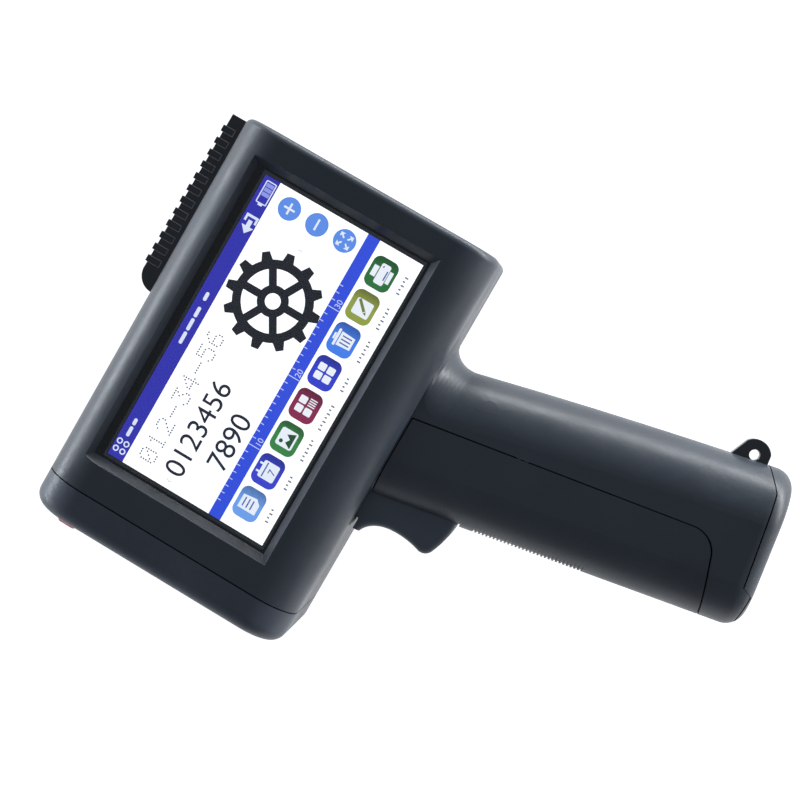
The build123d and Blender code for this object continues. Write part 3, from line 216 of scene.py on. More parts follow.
def rubbery(name, dark, light, roughness):
    """Rubber or foam with a soft mottled surface."""
    look = Look(name)
    look.set("Base Color", look.colours(look.spread(look.noise(1.4, 4), 0, 1), dark, light))
    look.set("Roughness", look.spread(look.noise(0.5, 2), roughness - 0.08, roughness + 0.08))
    look.bump(look.noise(0.35, 3, 0.6), 0.03, 0.7)
    return look.material


def circuit_board(name):
    """Green solder mask over copper tracks, with vias."""
    track_pitch, via_pitch = 4.2 * MM, 2.6 * MM
    look = Look(name, Coat_Weight=0.3)
    tracks = look.node("TexBrick", {
        "Vector": look.place, "Scale": 1 / track_pitch, "Mortar Size": 0.08, "Brick Width": 0.9,
        "Row Height": 0.32, "Color1": (0, 0, 0, 1), "Color2": (0, 0, 0, 1), "Mortar": (1, 1, 1, 1),
    }).outputs["Color"]
    vias = look.node("TexVoronoi", {"Vector": look.place, "Scale": 1 / via_pitch})
    ring = look.spread(vias.outputs["Distance"], 1, 0, 0.12, 0.16)
    mask = look.colours(tracks, srgb(8, 78, 38), srgb(24, 118, 62))
    look.set("Base Color", look.colours(ring, mask, srgb(196, 170, 96)))
    look.set("Roughness", look.spread(look.noise(6, 2), 0.3, 0.45))
    look.bump(tracks, 0.03, 0.4)
    return look.material


def flat_cable(name):
    """Amber film over parallel copper tracks."""
    track_pitch = 3.2 * MM
    look = Look(name)
    inputs = {"Vector": look.place, "Scale": 1 / track_pitch, "Distortion": 0.0}
    wave = look.node("TexWave", inputs, bands_direction="X")
    tracks = look.spread(wave.outputs["Fac"], 0, 1, 0.4, 0.6)
    look.set("Base Color", look.colours(tracks, srgb(150, 84, 24), srgb(214, 138, 62)))
    look.set("Roughness", look.spread(look.noise(4, 2), 0.28, 0.42))
    look.bump(tracks, 0.02)
    return look.material


def clear_glass(name):
    """The clear touch glass, with the faintest smears."""
    look = Look(name, IOR=1.5, Transmission_Weight=1.0, Base_Color=(0.97, 0.985, 1.0, 1.0))
    look.set("Roughness", look.spread(look.noise(22, 4, 0.6), 0.0, 0.035, 0.4, 0.75))
    return look.material


def printed_ink(name, dark, light):
    """A thin printed layer."""
    look = Look(name)
    look.set("Base Color", look.colours(look.spread(look.noise(12, 3), 0, 1), dark, light))
    look.set("Roughness", look.spread(look.noise(1.2, 2), 0.35, 0.5))
    return look.material


def emitter(name, strength):
    """A dark matt body that gives light. Its emission colour is still to be set."""
    return Look(
        name, Roughness=0.6, Specular_IOR_Level=0.0, Base_Color=UNLIT, Emission_Strength=strength)


def lit(name, colour, strength=1.0):
    """A colour shown by the backlit display, which drifts a little colder across it."""
    look = emitter(name, strength)
    patches = look.spread(look.noise(38, 2), 0, 1)
    look.set("Emission Color", look.colours(patches, colour, dimmed(colour, (0.86, 0.93, 1.0))))
    return look.material


def cell_sleeve(name):
    """Shrink-wrapped sleeve of a battery cell, slightly wrinkled."""
    look = Look(name, Coat_Weight=0.4)
    tone = look.spread(look.noise(9, 3), 0, 1)
    look.set("Base Color", look.colours(tone, srgb(38, 92, 150), srgb(58, 122, 184)))
    look.set("Roughness", look.spread(look.noise(3, 3), 0.25, 0.4))
    look.bump(look.noise(5, 3, 0.5, (1, 4, 1)), 0.06, 0.5)
    return look.material


# the plastics: dark and light tone, roughness, and what differs from moulded's own settings
PLASTICS = {
    "case_plastic": ((46, 52, 59), (54, 60, 69), 0.41, {"gloss": 0.44}),
    # painted light: the nose's tones are lighter than the case's to lift the shade it lies in
    "nose_plastic": ((56, 62, 71), (68, 74, 85), 0.44, {}),
    "grip_plastic": ((46, 52, 58), (54, 60, 68), 0.44, {}),
    "ribbed_plastic": ((20, 21, 24), (30, 32, 36), 0.34, {"gloss": 0.6}),
    # painted light: the trigger's tones are lighter than the case's to lift the shade it lies in
    # under the handle
    "trigger_plastic": ((70, 76, 84), (81, 88, 97), 0.46, {}),
    "dark_plastic": ((30, 32, 35), (39, 41, 45), 0.46, {}),
    "ink_plastic": ((28, 28, 31), (36, 36, 40), 0.38, {}),
    "lid_plastic": ((24, 108, 66), (34, 126, 80), 0.42, {}),
    "white_plastic": ((214, 212, 204), (228, 227, 220), 0.4, {}),
    "chip": ((26, 26, 28), (38, 38, 41), 0.55, {"grain": 0.12, "depth": 0.006}),
}
# the metals: dark and light tone as linear values, roughness, and the stretch of the brush marks
METALS = {
    "steel": ((0.52, 0.53, 0.54, 1), (0.66, 0.67, 0.68, 1), 0.28),
    "screw_steel": ((0.25, 0.25, 0.26, 1), (0.4, 0.4, 0.41, 1), 0.34, ALL_ROUND),
    "brass": ((0.72, 0.5, 0.2, 1), (0.85, 0.64, 0.3, 1), 0.26),
    "gold": ((0.82, 0.58, 0.22, 1), (0.95, 0.72, 0.34, 1), 0.22, ALL_ROUND),
    "magnet": ((0.5, 0.5, 0.52, 1), (0.6, 0.6, 0.62, 1), 0.18, ALL_ROUND),
}


def make_finishes():
    """One material for each material slot of the record."""
    plastics = {}
    for name, (dark, light, roughness, other) in PLASTICS.items():
        plastics[name] = moulded(name, srgb(*dark), srgb(*light), roughness, **other)
    # painted highlight: a paler tone on the handle side of the window's bevel, in place of the light
    # it catches
    painted_bevel_highlight(plastics["case_plastic"], srgb(122, 127, 136))
    # painted highlight: pale rib edges on the slide grip, in place of the glints their rounded edges
    # would catch
    painted_edge_highlights(plastics["ribbed_plastic"], srgb(184, 187, 194), 0.3)
    made = {name: look.material for name, look in plastics.items()}
    for name, settings in METALS.items():
        made[name] = turned_metal(name, *settings)
    made["glass"] = clear_glass("glass")
    made["lcd"] = lit("lcd", srgb(8, 9, 12), 0.4)
    made["foam"] = rubbery("foam", srgb(20, 20, 21), srgb(30, 30, 32), 0.85)
    made["pink_rubber"] = rubbery("pink_rubber", srgb(176, 78, 84), srgb(204, 104, 108), 0.6)
    made["board"] = circuit_board("board")
    made["ribbon"] = flat_cable("ribbon")
    made["cell_wrap"] = cell_sleeve("cell_wrap")
    return made


FINISHES = make_finishes()


def finish_nodes():
    """Gives every CAD node the finish of its material slot."""
    for part in frame["record"]["subparts"]:
        node = NODES[part["node"]]
        node.data.materials.clear()
        node.data.materials.append(FINISHES[part["material_slot"]])


# ------------------------------------------------------------------ flat shapes
CORNER_STEPS, ARC_STEPS = 6, 20


def box_points(x0, y0, x1, y1):
    """The corners of a rectangle."""
    return [(x0, y0), (x1, y0), (x1, y1), (x0, y1)]


def disc_points(x, y, radius, steps):
    """Points round a circle about a middle."""
    turns = [2 * math.pi * k / steps for k in range(steps)]
    return [(x + radius * math.cos(t), y + radius * math.sin(t)) for t in turns]


def arc_points(radius, start, end):
    """Points along an arc, with its angles in degrees."""
    turns = [math.radians(start + (end - start) * k / ARC_STEPS) for k in range(ARC_STEPS + 1)]
    return [(radius * math.cos(t), radius * math.sin(t)) for t in turns]


def rounded_points(x, y, width, height, radius):
    """A rounded rectangle about a middle."""
    points = []
    for corner, (sx, sy) in enumerate(((1, 1), (-1, 1), (-1, -1), (1, -1))):
        cx, cy = x + sx * (width / 2 - radius), y + sy * (height / 2 - radius)
        for k in range(CORNER_STEPS + 1):
            t = math.pi / 2 * (corner + k / CORNER_STEPS)
            points.append((cx + radius * math.cos(t), cy + radius * math.sin(t)))
    return points


def stroke_points(start, end, width):
    """A straight stroke between two points."""
    (x0, y0), (x1, y1) = start, end
    length = math.hypot(x1 - x0, y1 - y0)
    nx, ny = -(y1 - y0) / length * width / 2, (x1 - x0) / length * width / 2
    return [(x0 + nx, y0 + ny), (x0 - nx, y0 - ny), (x1 - nx, y1 - ny), (x1 + nx, y1 + ny)]


def placed(points, at=DISPLAY):
    """Points in millimetres from a place, in metres."""
    return [(at.x + x * MM, at.y + y * MM) for x, y in points]


def add_wall(mesh, lower, upper):
    """A ring of faces between two rings of vertices."""
    for k in range(len(lower)):
        after = (k + 1) % len(lower)
        mesh.faces.new((lower[k], lower[after], upper[after], upper[k]))


def add_prism(mesh, points, low, high):
    """A flat closed shape between two heights, in metres."""
    if sum(a[0] * b[1] - b[0] * a[1] for a, b in zip(points, points[1:] + points[:1])) < 0:
        points = points[::-1]
    rings = [[mesh.verts.new((x, y, z)) for x, y in points] for z in (low, high)]
    mesh.faces.new(rings[0][::-1])
    mesh.faces.new(rings[1])
    add_wall(mesh, rings[0], rings[1])


def add_band(mesh, outer, inner, low, high):
    """A closed band between two outlines that have the same number of points."""
    made = []
    for outline in (outer, inner):
        made.append([[mesh.verts.new((x, y, z)) for x, y in outline] for z in (low, high)])
    (outer_low, outer_high), (inner_low, inner_high) = made
    add_wall(mesh, outer_low, outer_high)
    add_wall(mesh, inner_high, inner_low)
    add_wall(mesh, outer_high, inner_high)
    add_wall(mesh, inner_low, outer_low)


def mesh_data(name, mesh):
    """Mesh data made of a bmesh, which is then freed."""
    data = bpy.data.meshes.new(name)
    mesh.to_mesh(data)
    mesh.free()
    return data


def in_scene(name, data):
    """A new object of some data, linked to the scene."""
    made = bpy.data.objects.new(name, data)
    bpy.context.scene.collection.objects.link(made)
    return made


def piece(name, mesh, look, body):
    """Turns a bmesh into a piece that rides on a body."""
    made = in_scene(name, mesh_data(name, mesh))
    made.data.materials.append(look)
    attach(made, body)


# ------------------------------------------------------------------ the display's picture
LAYER_FIRST, LAYER_STEP, LAYER_THICK = 0.05, 0.04, 0.025
NUMERAL_HEIGHT = 0.73  # numeral height of Blender's own font, as a share of its size
MERGE_WITHIN = 1e-7
SCREEN_X, SCREEN_Y = 95.04 / 2, 53.86 / 2  # half the lit picture


class Layer:
    """Flat shapes of one look on the display, in millimetres from its middle."""

    def __init__(self, name, level, look):
        self.name, self.mesh, self.look = name, bmesh.new(), look
        self.low = LCD_TOP + (LAYER_FIRST + LAYER_STEP * level) * MM
        self.high = self.low + LAYER_THICK * MM

    def shape(self, points):
        """Any closed outline."""
        add_prism(self.mesh, placed(points), self.low, self.high)

    def band(self, outer, inner):
        """What lies between two outlines."""
        add_band(self.mesh, placed(outer), placed(inner), self.low, self.high)

    def box(self, *corners):
        """A rectangle between two corners."""
        self.shape(box_points(*corners))

    def disc(self, x, y, radius, steps=36):
        """A disc about a middle."""
        self.shape(disc_points(x, y, radius, steps))

    def rounded(self, x, y, width, height, radius):
        """A rounded rectangle about a middle."""
        self.shape(rounded_points(x, y, width, height, radius))

    def stroke(self, start, end, width):
        """A straight stroke between two points."""
        self.shape(stroke_points(start, end, width))

    def ring(self, x, y, radius, width, steps=48):
        """A ring about a middle, with its outer radius."""
        self.band(disc_points(x, y, radius, steps), disc_points(x, y, radius - width, steps))

    def frame(self, x, y, width, height, radius, line):
        """The outline of a rounded rectangle."""
        inner_size = (width - 2 * line, height - 2 * line, radius - line)
        self.band(rounded_points(x, y, width, height, radius), rounded_points(x, y, *inner_size))

    def digits(self, text, x, y, height):
        """Plain numerals standing on a line that starts at a point."""
        curve = bpy.data.curves.new(self.name + "_numerals", "FONT")
        curve.body = text
        curve.size = height * MM / NUMERAL_HEIGHT
        curve.extrude = LAYER_THICK * MM / 2
        holder = in_scene(self.name + "_numerals", curve)
        bpy.context.view_layer.update()
        shown = holder.evaluated_get(bpy.context.evaluated_depsgraph_get())
        flat = bpy.data.meshes.new_from_object(shown)
        bpy.data.objects.remove(holder)
        lift = (self.low + self.high) / 2
        flat.transform(Matrix.Translation((DISPLAY.x + x * MM, DISPLAY.y + y * MM, lift)))
        self.mesh.from_mesh(flat)
        bpy.data.meshes.remove(flat)

    def done(self):
        """Puts the layer in the scene, fixed to the case."""
        bmesh.ops.remove_doubles(self.mesh, verts=self.mesh.verts, dist=MERGE_WITHIN)
        piece(self.name, self.mesh, self.look, "case")


def lit_layer(name, level, colour, strength=1.0):
    """A layer of one lit colour, given as 0-255 screen values."""
    return Layer(name, level, lit(name, srgb(*colour), strength))


def picture_ground():
    """The white ground of the whole picture."""
    sheet = lit_layer("screen_ground", 0, (255, 255, 255), 1.3)
    sheet.box(-SCREEN_X, -SCREEN_Y, SCREEN_X, SCREEN_Y)
    sheet.done()


TITLE_FOOT, TITLE_LINE = 21.8, 24.4
TITLE_RINGS = ((-44.9, 23.3), (-44.9, 25.6), (-42.4, 23.3), (-42.4, 25.6))
TITLE_DASHES = (
    (-40.2, -36.9), (-36.4, -34.2), (-8.4, -4.4), (-3.9, 0.1), (0.6, 4.0), (6.2, 9.0),
)
RETURN_ARROW = [
    (29.3, 24.0), (31.6, 26.0), (31.6, 24.7), (33.6, 24.7), (33.6, 23.3), (31.6, 23.3),
    (31.6, 22.0),
]
RETURN_BRACKET = [
    (32.9, 26.1), (35.2, 26.1), (35.2, 22.0), (32.9, 22.0), (32.9, 22.7), (34.4, 22.7),
    (34.4, 25.4), (32.9, 25.4),
]
CELL_COUNT, CELL_FIRST, CELL_PITCH, CELL_WIDTH = 3, 41.6, 1.45, 1.2


def title_bar():
    """The blue bar with a sign of four rings, dashes for words, a return sign and a battery."""
    bar = lit_layer("screen_title_bar", 1, (44, 42, 172))
    bar.box(-SCREEN_X, TITLE_FOOT, SCREEN_X, SCREEN_Y)
    bar.done()
    marks = lit_layer("screen_title_marks", 2, (232, 236, 255))
    for x, y in TITLE_RINGS:
        marks.ring(x, y, 0.95, 0.4, 20)
    for start, end in TITLE_DASHES:
        marks.rounded((start + end) / 2, TITLE_LINE, end - start, 1.1, 0.5)
    marks.shape(RETURN_ARROW)
    marks.shape(RETURN_BRACKET)
    marks.frame(42.8, 24.0, 7.2, 3.5, 0.4, 0.35)
    marks.box(38.6, 23.3, 39.2, 24.7)
    marks.done()
    charge = lit_layer("screen_charge", 2, (150, 156, 236))
    for k in range(CELL_COUNT):
        left = CELL_FIRST + CELL_PITCH * k
        charge.box(left, 22.8, left + CELL_WIDTH, 25.2)
    charge.done()


# dot-matrix numerals, five wide and seven high, one row a number read as bits
DOT_NUMERALS = {
    "0": (14, 17, 19, 21, 25, 17, 14), "1": (4, 12, 4, 4, 4, 4, 14), "2": (14, 17, 1, 2, 4, 8, 31),
    "3": (31, 2, 4, 2, 1, 17, 14), "4": (2, 6, 10, 18, 31, 2, 2), "5": (31, 16, 30, 1, 1, 17, 14),
    "6": (6, 8, 16, 30, 17, 17, 14), "-": (0, 0, 0, 31, 0, 0, 0),
}
DOT_COLUMNS = 5
DOT_START, DOT_PITCH, DOT_STEP, DOT_SIZE, DOT_RADIUS = (-43.4, 18.4), 0.82, 4.98, 0.5, 0.12
NUMERAL_LINES, NUMERAL_SIZE = (("0123456", -43.2, 3.9), ("7890", -35.2, -6.2)), 6.6

COG_AT, COG_TEETH, SPOKE_PAIRS = (16.3, 6.4), 12, 3
COG_ROOT, COG_TIP, COG_RIM, COG_HUB, COG_LINE = 12.3, 14.8, 9.6, 4.8, 2.4
SPOKE_NEAR, SPOKE_FAR = 3.96, 9.9
# a tooth's outline: share of the way to the next tooth, radius
COG_TOOTH = (
    (0.0, COG_ROOT), (0.12, COG_TIP), (0.42, COG_TIP), (0.54, COG_ROOT), (0.77, COG_ROOT),
)


def cog_point(radius, turn):
    """A point at a radius and an angle from the cog's middle."""
    return (COG_AT[0] + radius * math.cos(turn), COG_AT[1] + radius * math.sin(turn))


def draw_cog(layer):
    """A cog wheel: a toothed rim, three pairs of spokes and a ring for its hub."""
    outer, inner = [], []
    for k in range(COG_TEETH):
        for share, radius in COG_TOOTH:
            turn = 2 * math.pi * (k + share) / COG_TEETH
            outer.append(cog_point(radius, turn))
            inner.append(cog_point(COG_RIM, turn))
    layer.band(outer, inner)
    for k in range(SPOKE_PAIRS):
        turn = math.pi * (k / SPOKE_PAIRS + 1 / 6)
        for side in (-1, 1):
            near, far = side * SPOKE_NEAR, side * SPOKE_FAR
            layer.stroke(cog_point(near, turn), cog_point(far, turn), COG_LINE)
    layer.ring(*COG_AT, COG_HUB, COG_LINE)


def print_preview():
    """What is about to be printed: a dotted date, plain numerals and a cog for a sign."""
    dots = lit_layer("screen_dotted_date", 1, (112, 112, 126))
    for place, mark in enumerate("012-34-56"):
        for row, bits in enumerate(DOT_NUMERALS[mark]):
            for column in range(DOT_COLUMNS):
                if bits >> (DOT_COLUMNS - 1 - column) & 1:
                    x = DOT_START[0] + DOT_STEP * place + DOT_PITCH * column
                    y = DOT_START[1] - DOT_PITCH * row
                    dots.rounded(x, y, DOT_SIZE, DOT_SIZE, DOT_RADIUS)
    dots.done()
    ink = lit_layer("screen_numerals", 1, (22, 20, 40))
    for text, x, y in NUMERAL_LINES:
        ink.digits(text, x, y, NUMERAL_SIZE)
    ink.done()
    cog = lit_layer("screen_cog", 1, (16, 16, 24))
    draw_cog(cog)
    cog.done()
    hints = lit_layer("screen_page_hints", 1, (206, 210, 222))
    for x, way in ((-45.4, 1), (33.4, -1)):
        hints.stroke((x + 0.5 * way, 7.6), (x, 6.8), 0.25)
        hints.stroke((x, 6.8), (x + 0.5 * way, 6.0), 0.25)
    hints.done()


BUTTON_X, PLUS_Y, MINUS_Y, SPREAD_Y, BUTTON_RADIUS = 42.2, 15.7, 6.3, -3.2, 3.5
MARK_REACH, MARK_LINE = 1.8, 0.62
ARROW_START, ARROW_END, ARROW_TIP, ARROW_HEAD, ARROW_LINE = 0.6, 1.7, 2.1, 1.4, 0.5


def zoom_buttons():
    """Three round buttons: larger, smaller, and spread to the whole screen."""
    buttons = lit_layer("screen_round_buttons", 1, (96, 146, 236))
    marks = lit_layer("screen_round_button_marks", 2, (240, 244, 255))
    x, beside = BUTTON_X, MARK_LINE / 2
    for y in (PLUS_Y, MINUS_Y, SPREAD_Y):
        buttons.disc(x, y, BUTTON_RADIUS)
    marks.stroke((x - MARK_REACH, PLUS_Y), (x + MARK_REACH, PLUS_Y), MARK_LINE)
    marks.stroke((x, PLUS_Y - MARK_REACH), (x, PLUS_Y - beside), MARK_LINE)
    marks.stroke((x, PLUS_Y + beside), (x, PLUS_Y + MARK_REACH), MARK_LINE)
    marks.stroke((x - MARK_REACH, MINUS_Y), (x + MARK_REACH, MINUS_Y), MARK_LINE)
    for sx in (-1, 1):
        for sy in (-1, 1):
            reaches = (ARROW_START, ARROW_END, ARROW_TIP)
            start, end, tip = ((x + sx * reach, SPREAD_Y + sy * reach) for reach in reaches)
            marks.stroke(start, end, ARROW_LINE)
            marks.shape([tip, (tip[0] - sx * ARROW_HEAD, tip[1]), (tip[0], tip[1] - sy * ARROW_HEAD)])
    buttons.done()
    marks.done()


RULER_FOOT, RULER_TOP = -12.3, -8.3
MARK_COUNT, MARK_FIRST, MARK_PITCH, MARK_HALF = 32, -42.2, 2.345, 0.13
MARK_TOP, MARK_SHORT, MARK_LONG = -8.4, -9.5, -12.1


def ruler():
    """The blue ruler under the preview, with a long mark and a numeral at every ten."""
    bar = lit_layer("screen_ruler_bar", 1, (45, 76, 222))
    bar.box(-SCREEN_X, RULER_FOOT, SCREEN_X, RULER_TOP)
    bar.done()
    marks = lit_layer("screen_ruler_marks", 2, (206, 214, 255))
    for k in range(MARK_COUNT):
        x = MARK_FIRST + MARK_PITCH * k
        foot = MARK_LONG if k % 10 == 8 else MARK_SHORT
        marks.box(x - MARK_HALF, foot, x + MARK_HALF, MARK_TOP)
    for k, text in enumerate(("10", "20", "30")):
        marks.digits(text, -22.9 + 10 * MARK_PITCH * k, -11.9, 1.9)
    marks.done()


ICON_Y, ICON_FIRST, ICON_PITCH = -17.5, -38.8, 11.143
ICON_SIZE, ICON_RADIUS = (9.7, 8.2), 2.3
DASH_TOP, DASH_FOOT, DASH_SHORTER, DASH_PITCH, DASH_HALF = -24.0, -25.1, 0.35, 1.3, 0.24
# the layers of the signs on the icons, in the order in which they are put in the scene
SIGN_LAYERS = (
    ("hills", 3, (26, 78, 40)), ("pencil", 3, (120, 130, 60)),
    ("signs", 2, (246, 249, 255)), ("details", 3, (70, 92, 170)),
)


def shaded_icon(name, colour, x):
    """An icon's plate, which runs to a darker tone at its right side."""
    look = emitter(name, 1.0)
    across = look.node("SeparateXYZ", {0: look.place}).outputs["X"]
    start = DISPLAY.x + x * MM
    share = look.spread(across, 0, 1, start, start + ICON_SIZE[0] / 2 * MM)
    grain = look.spread(look.noise(1.5, 2), -0.1, 0.1)
    darker = dimmed(colour, (0.45, 0.45, 0.45))
    look.set("Emission Color", look.colours(look.combined(share, grain), colour, darker))
    return look.material


def note_sign(layers, x, y):
    """A sheet of paper with a cut corner."""
    sheet = ((-2.3, 2.9), (1.9, 2.9), (2.4, -1.4), (0.9, -2.9), (-2.3, -2.9))
    layers["signs"].shape([(x + a, y + b) for a, b in sheet])
    for k in range(3):
        layers["details"].box(x - 1.5, y + 1.5 - 1.3 * k, x + 1.4, y + 1.9 - 1.3 * k)


def calendar_sign(layers, x, y):
    """A calendar leaf that hangs by two rings."""
    layers["signs"].rounded(x, y - 0.2, 5.4, 5.2, 0.6)
    layers["signs"].box(x - 1.6, y + 2.2, x - 1.0, y + 3.4)
    layers["signs"].box(x + 1.0, y + 2.2, x + 1.6, y + 3.4)
    layers["details"].box(x - 2.3, y + 0.9, x + 2.3, y + 1.3)
    layers["details"].digits("7", x - 0.7, y - 2.3, 2.4)


def image_sign(layers, x, y):
    """A framed picture of hills and a sun."""
    layers["signs"].rounded(x, y, 5.6, 5.4, 0.7)
    layers["hills"].disc(x - 1.3, y + 1.3, 0.6, 20)
    hills = ((-2.4, -2.1), (2.4, -2.1), (1.2, 0.5), (0.1, -1.0), (-1.2, -0.1))
    layers["hills"].shape([(x + a, y + b) for a, b in hills])


def code_sign(layers, x, y):
    """Squares and bars of a code."""
    for dx, dy in ((-1.4, 1.5), (1.4, 1.5), (-1.4, -1.4)):
        layers["signs"].rounded(x + dx, y + dy, 2.3, 2.4, 0.4)
    for k in range(4):
        layers["signs"].box(x + 0.35 + 0.7 * k, y - 2.6, x + 0.7 + 0.7 * k, y - 0.3)


def more_sign(layers, x, y):
    """Four squares."""
    for dx in (-1.4, 1.4):
        for dy in (-1.45, 1.45):
            layers["signs"].rounded(x + dx, y + dy, 2.3, 2.4, 0.4)


def bin_sign(layers, x, y):
    """A bin with its lid."""
    layers["signs"].rounded(x, y + 2.2, 5.4, 0.8, 0.35)
    layers["signs"].box(x - 1.0, y + 2.7, x + 1.0, y + 3.3)
    tub = ((-2.2, 1.5), (2.2, 1.5), (1.9, -3.0), (-1.9, -3.0))
    layers["signs"].shape([(x + a, y + b) for a, b in tub])
    for k in range(3):
        layers["details"].box(x - 1.3 + 1.1 * k, y - 2.3, x - 0.9 + 1.1 * k, y + 0.8)


def edit_sign(layers, x, y):
    """A pencil over a sheet."""
    layers["signs"].rounded(x - 0.3, y - 0.2, 5.0, 5.4, 0.6)
    layers["pencil"].stroke((x - 1.0, y - 1.1), (x + 1.9, y + 1.8), 0.9)
    point = ((-1.9, -2.0), (-1.5, -0.9), (-0.8, -1.6))
    layers["pencil"].shape([(x + a, y + b) for a, b in point])


def print_sign(layers, x, y):
    """A desk printer with paper in and out."""
    layers["signs"].rounded(x, y - 0.3, 6.4, 3.0, 0.6)
    layers["signs"].box(x - 1.7, y + 1.5, x + 1.7, y + 3.1)
    layers["signs"].box(x - 1.9, y - 3.2, x + 1.9, y - 2.0)
    layers["details"].box(x - 1.5, y - 1.5, x + 1.5, y - 1.1)
    layers["details"].box(x + 1.9, y + 0.2, x + 2.5, y + 0.6)


# the icons from the left: name, colour of the plate, sign on it, number of dashes under it
ICONS = (
    ("note", (112, 162, 240), note_sign, 4),
    ("calendar", (52, 62, 206), calendar_sign, 4),
    ("image", (52, 132, 62), image_sign, 6),
    ("code", (138, 30, 78), code_sign, 7),
    ("more", (46, 60, 206), more_sign, 4),
    ("bin", (66, 128, 240), bin_sign, 6),
    ("edit", (150, 162, 66), edit_sign, 6),
    ("print", (34, 112, 50), print_sign, 5),
)


def icon_x(k):
    """The middle of an icon along the row."""
    return ICON_FIRST + ICON_PITCH * k


def icon_plates():
    """The coloured plates of the row of icons."""
    for k, (icon, colour, _, _) in enumerate(ICONS):
        name = "screen_icon_" + icon
        plate = Layer(name, 1, shaded_icon(name + "_shade", srgb(*colour), icon_x(k)))
        plate.rounded(icon_x(k), ICON_Y, *ICON_SIZE, ICON_RADIUS)
        plate.done()


def icon_marks():
    """The white signs on the icons, and a row of dashes under each in place of words."""
    layers = {}
    for name, level, colour in SIGN_LAYERS:
        layers[name] = lit_layer("screen_icon_" + name, level, colour)
    for k, (_, _, draw_sign, _) in enumerate(ICONS):
        draw_sign(layers, icon_x(k), ICON_Y)
    for layer in layers.values():
        layer.done()
    dashes = lit_layer("screen_icon_dashes", 1, (112, 115, 130))
    for k, (_, _, _, count) in enumerate(ICONS):
        for n in range(count):
            x = icon_x(k) + DASH_PITCH * (n - (count - 1) / 2)
            foot = DASH_FOOT + DASH_SHORTER * (n % 2)
            dashes.box(x - DASH_HALF, foot, x + DASH_HALF, DASH_TOP)
    dashes.done()


BORDER_EDGE, BORDER_LOW, BORDER_HIGH = 0.3 * MM, 0.03 * MM, 0.01 * MM
OPENING_X, OPENING_Y = 47.75, 27.15  # half the clear opening of the black border


def glass_border():
    """The black band printed round the underside of the touch glass."""
    low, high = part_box("touch_glass")
    outer = box_points(
        low.x + BORDER_EDGE, low.y + BORDER_EDGE, high.x - BORDER_EDGE, high.y - BORDER_EDGE)
    inner = placed(box_points(-OPENING_X, -OPENING_Y, OPENING_X, OPENING_Y))
    mesh = bmesh.new()
    add_band(mesh, outer, inner, GLASS_UNDER - BORDER_LOW, GLASS_UNDER - BORDER_HIGH)
    ink = printed_ink("glass_border_ink", srgb(9, 10, 13), srgb(13, 14, 18))
    piece("glass_border", mesh, ink, "case")


# ------------------------------------------------------------------ small details of the body
INK_THICK = 0.03
SIGN_BESIDE, SIGN_RADIUS, SIGN_LINE = 7.6, 1.5, 0.4
GAP_END, GAP_START = 122, 418  # the gap of the power sign's ring, in degrees
BOLT = [(0.7, 1.9), (-1.1, -0.3), (-0.1, -0.3), (-0.7, -1.9), (1.1, 0.3), (0.1, 0.3)]


def rear_signs():
    """A power sign by the button and a charging bolt by the round socket, on the rear wall."""
    ring = arc_points(SIGN_RADIUS, GAP_END, GAP_START)
    ring += arc_points(SIGN_RADIUS - SIGN_LINE, GAP_START, GAP_END)
    bar = box_points(-SIGN_LINE / 2, 0.2, SIGN_LINE / 2, SIGN_RADIUS + 0.3)
    mesh = bmesh.new()
    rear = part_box("back_shell")[1].x
    for node, shapes in (("power_button", (ring, bar)), ("charge_jack", (BOLT,))):
        at, signs = middle(node), bmesh.new()
        for shape in shapes:
            add_prism(signs, [(a * MM, b * MM) for a, b in shape], 0.0, INK_THICK * MM)
        y = at.y + SIGN_BESIDE * MM
        signs.transform(Matrix(((0, 0, 1, rear), (0, 1, 0, y), (-1, 0, 0, at.z), (0, 0, 0, 1))))
        flat = mesh_data("sign", signs)
        mesh.from_mesh(flat)
        bpy.data.meshes.remove(flat)
    ink = printed_ink("sign_ink", srgb(168, 171, 176), srgb(186, 189, 194))
    piece("rear_signs", mesh, ink, "case")


# the strip behind the seam: its ends from the far upper corner of the grip cover's box, its width,
# and how far its lower and upper face lie under the top of the box
LIP_ENDS, LIP_WIDTH, LIP_LOW, LIP_HIGH = ((-14.9, -0.2), (0.1, -92.0)), 2.6, 3.1, 2.55


def seam_lip():
    """The lip behind the long seam of the grip cover, which keeps light out of the handle."""
    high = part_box("grip_cover")[1]
    strip = stroke_points(*placed(LIP_ENDS, high), LIP_WIDTH * MM)
    mesh = bmesh.new()
    add_prism(mesh, strip, high.z - LIP_LOW * MM, high.z - LIP_HIGH * MM)
    piece("seam_lip", mesh, FINISHES["dark_plastic"], "case")


LABEL_INSET, LABEL_RADIUS = 24.0, 1.5
# the label's layers from below: piece, ink, dark and light tone, size
LABEL_LAYERS = (
    ("cartridge_label", "label_paper", (214, 214, 208), (226, 226, 221), (36, 44)),
    ("cartridge_band", "label_band", (24, 84, 150), (34, 98, 168), (7, 44)),
)


def cartridge_label():
    """A plain paper label on the flat of the ink cartridge, with one coloured band."""
    low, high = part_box("ink_cartridge")
    at = Vector((high.x - LABEL_INSET * MM, (low.y + high.y) / 2))
    for level, (name, ink, dark, light, size) in enumerate(LABEL_LAYERS):
        mesh = bmesh.new()
        points = placed(rounded_points(0, 0, *size, LABEL_RADIUS), at)
        foot = high.z + INK_THICK * MM * level
        add_prism(mesh, points, foot, foot + INK_THICK * MM)
        piece(name, mesh, printed_ink(ink, srgb(*dark), srgb(*light)), "slide")


# ------------------------------------------------------------------ room
FLOOR_REACH, FLOOR_GLOW = 12.0, 0.85
# the tent's tone by height: the place on its ramp and the colour there
TENT = ((0.1, (0.35, 0.36, 0.38, 1)), (0.75, (0.25, 0.28, 0.325, 1)))
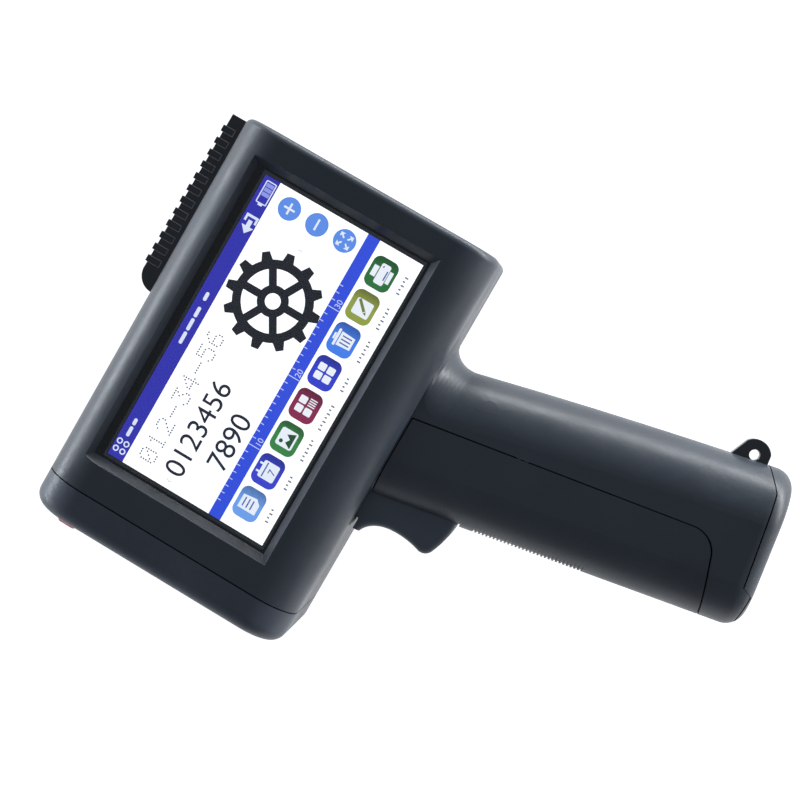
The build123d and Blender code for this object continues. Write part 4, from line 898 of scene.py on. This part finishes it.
# low strips of light that graze the edges: name, place, aim, size, power, colour
LIGHTS = (
    ("light_rear", (0.6, -0.12, 0.05), (0.02, -0.12, 0.04), (0.9, 0.09), 5.2, (0.93, 0.97, 1.0)),
    ("light_slide", (-0.05, 0.65, 0.03), (0.0, 0.0, 0.05), (0.9, 0.06), 5.0, (0.86, 0.93, 1.0)),
    ("light_foot", (0.5, -0.7, 0.06), (0.02, -0.06, 0.04), (0.6, 0.1), 5.0, (1.0, 1.0, 1.0)),
)
# the camera's place and aim in millimetres from the display, its upward side and its lens
CAMERA_FROM, CAMERA_AIM = (46.19, -89.05, 520.6), (10.28, -40.77, 0.0)
CAMERA_UP, CAMERA_LENS, CAMERA_SENSOR = (0.8635, 0.5041, -0.0128), 81.0, 36.0
CAMERA_NEAR, CAMERA_FAR = 0.02, 20.0


def floor():
    """A plain pale floor under the printer."""
    look = Look("floor", Roughness=0.7, Specular_IOR_Level=0.1)
    tone = look.spread(look.noise(60, 3), 0, 1)
    look.set("Base Color", look.colours(tone, (0.88, 0.88, 0.885, 1), (0.92, 0.92, 0.925, 1)))
    look.fix("Emission Color", (1.0, 1.0, 1.0, 1.0))
    look.fix("Emission Strength", FLOOR_GLOW)
    mesh = bmesh.new()
    corners = box_points(-FLOOR_REACH, -FLOOR_REACH, FLOOR_REACH, FLOOR_REACH)
    mesh.faces.new([mesh.verts.new((x, y, CAD_BOX[0].z)) for x, y in corners])
    made = in_scene("floor", mesh_data("floor", mesh))
    made.data.materials.append(look.material)


def soft_light(name, place, aim, size, power, colour):
    """A rectangular light that faces its aim."""
    data = bpy.data.lights.new(name, "AREA")
    data.shape, data.size, data.size_y = "RECTANGLE", size[0], size[1]
    data.energy, data.color = power, colour
    made = in_scene(name, data)
    made.location = place
    made.rotation_mode = "QUATERNION"
    made.rotation_quaternion = (Vector(place) - Vector(aim)).to_track_quat("Z", "Y")


def room():
    """A light tent: bright all round, darker overhead where the camera looks in."""
    world = bpy.data.worlds.new("tent")
    bpy.context.scene.world = world
    world.use_nodes = True
    tree = world.node_tree
    place = tree.nodes.new("ShaderNodeTexCoord")
    height = tree.nodes.new("ShaderNodeSeparateXYZ")
    ramp = tree.nodes.new("ShaderNodeValToRGB")
    background = tree.nodes["Background"]
    tree.links.new(place.outputs["Generated"], height.inputs[0])
    tree.links.new(height.outputs["Z"], ramp.inputs[0])
    tree.links.new(ramp.outputs[0], background.inputs["Color"])
    for stop, (position, colour) in zip(ramp.color_ramp.elements, TENT):
        stop.position, stop.color = position, colour
    background.inputs["Strength"].default_value = 1.0
    for light in LIGHTS:
        soft_light(*light)
    bpy.context.scene.view_settings.view_transform = "Standard"


def camera():
    """The camera looks almost straight down on the screen, with the handle to the right."""
    data = bpy.data.cameras.new("camera")
    data.lens, data.sensor_width = CAMERA_LENS, CAMERA_SENSOR
    data.clip_start, data.clip_end = CAMERA_NEAR, CAMERA_FAR
    made = in_scene("camera", data)
    start, aim = (DISPLAY + Vector(p) * MM for p in (CAMERA_FROM, CAMERA_AIM))
    ahead = (aim - start).normalized()
    right = ahead.cross(Vector(CAMERA_UP)).normalized()
    up = right.cross(ahead)
    turn = Matrix((right, up, -ahead)).transposed().to_4x4()
    made.matrix_world = Matrix.Translation(start) @ turn
    bpy.context.scene.camera = made


finish_nodes()
picture_ground()
title_bar()
print_preview()
zoom_buttons()
ruler()
icon_plates()
icon_marks()
glass_border()
rear_signs()
seam_lip()
cartridge_label()
floor()
room()
camera()
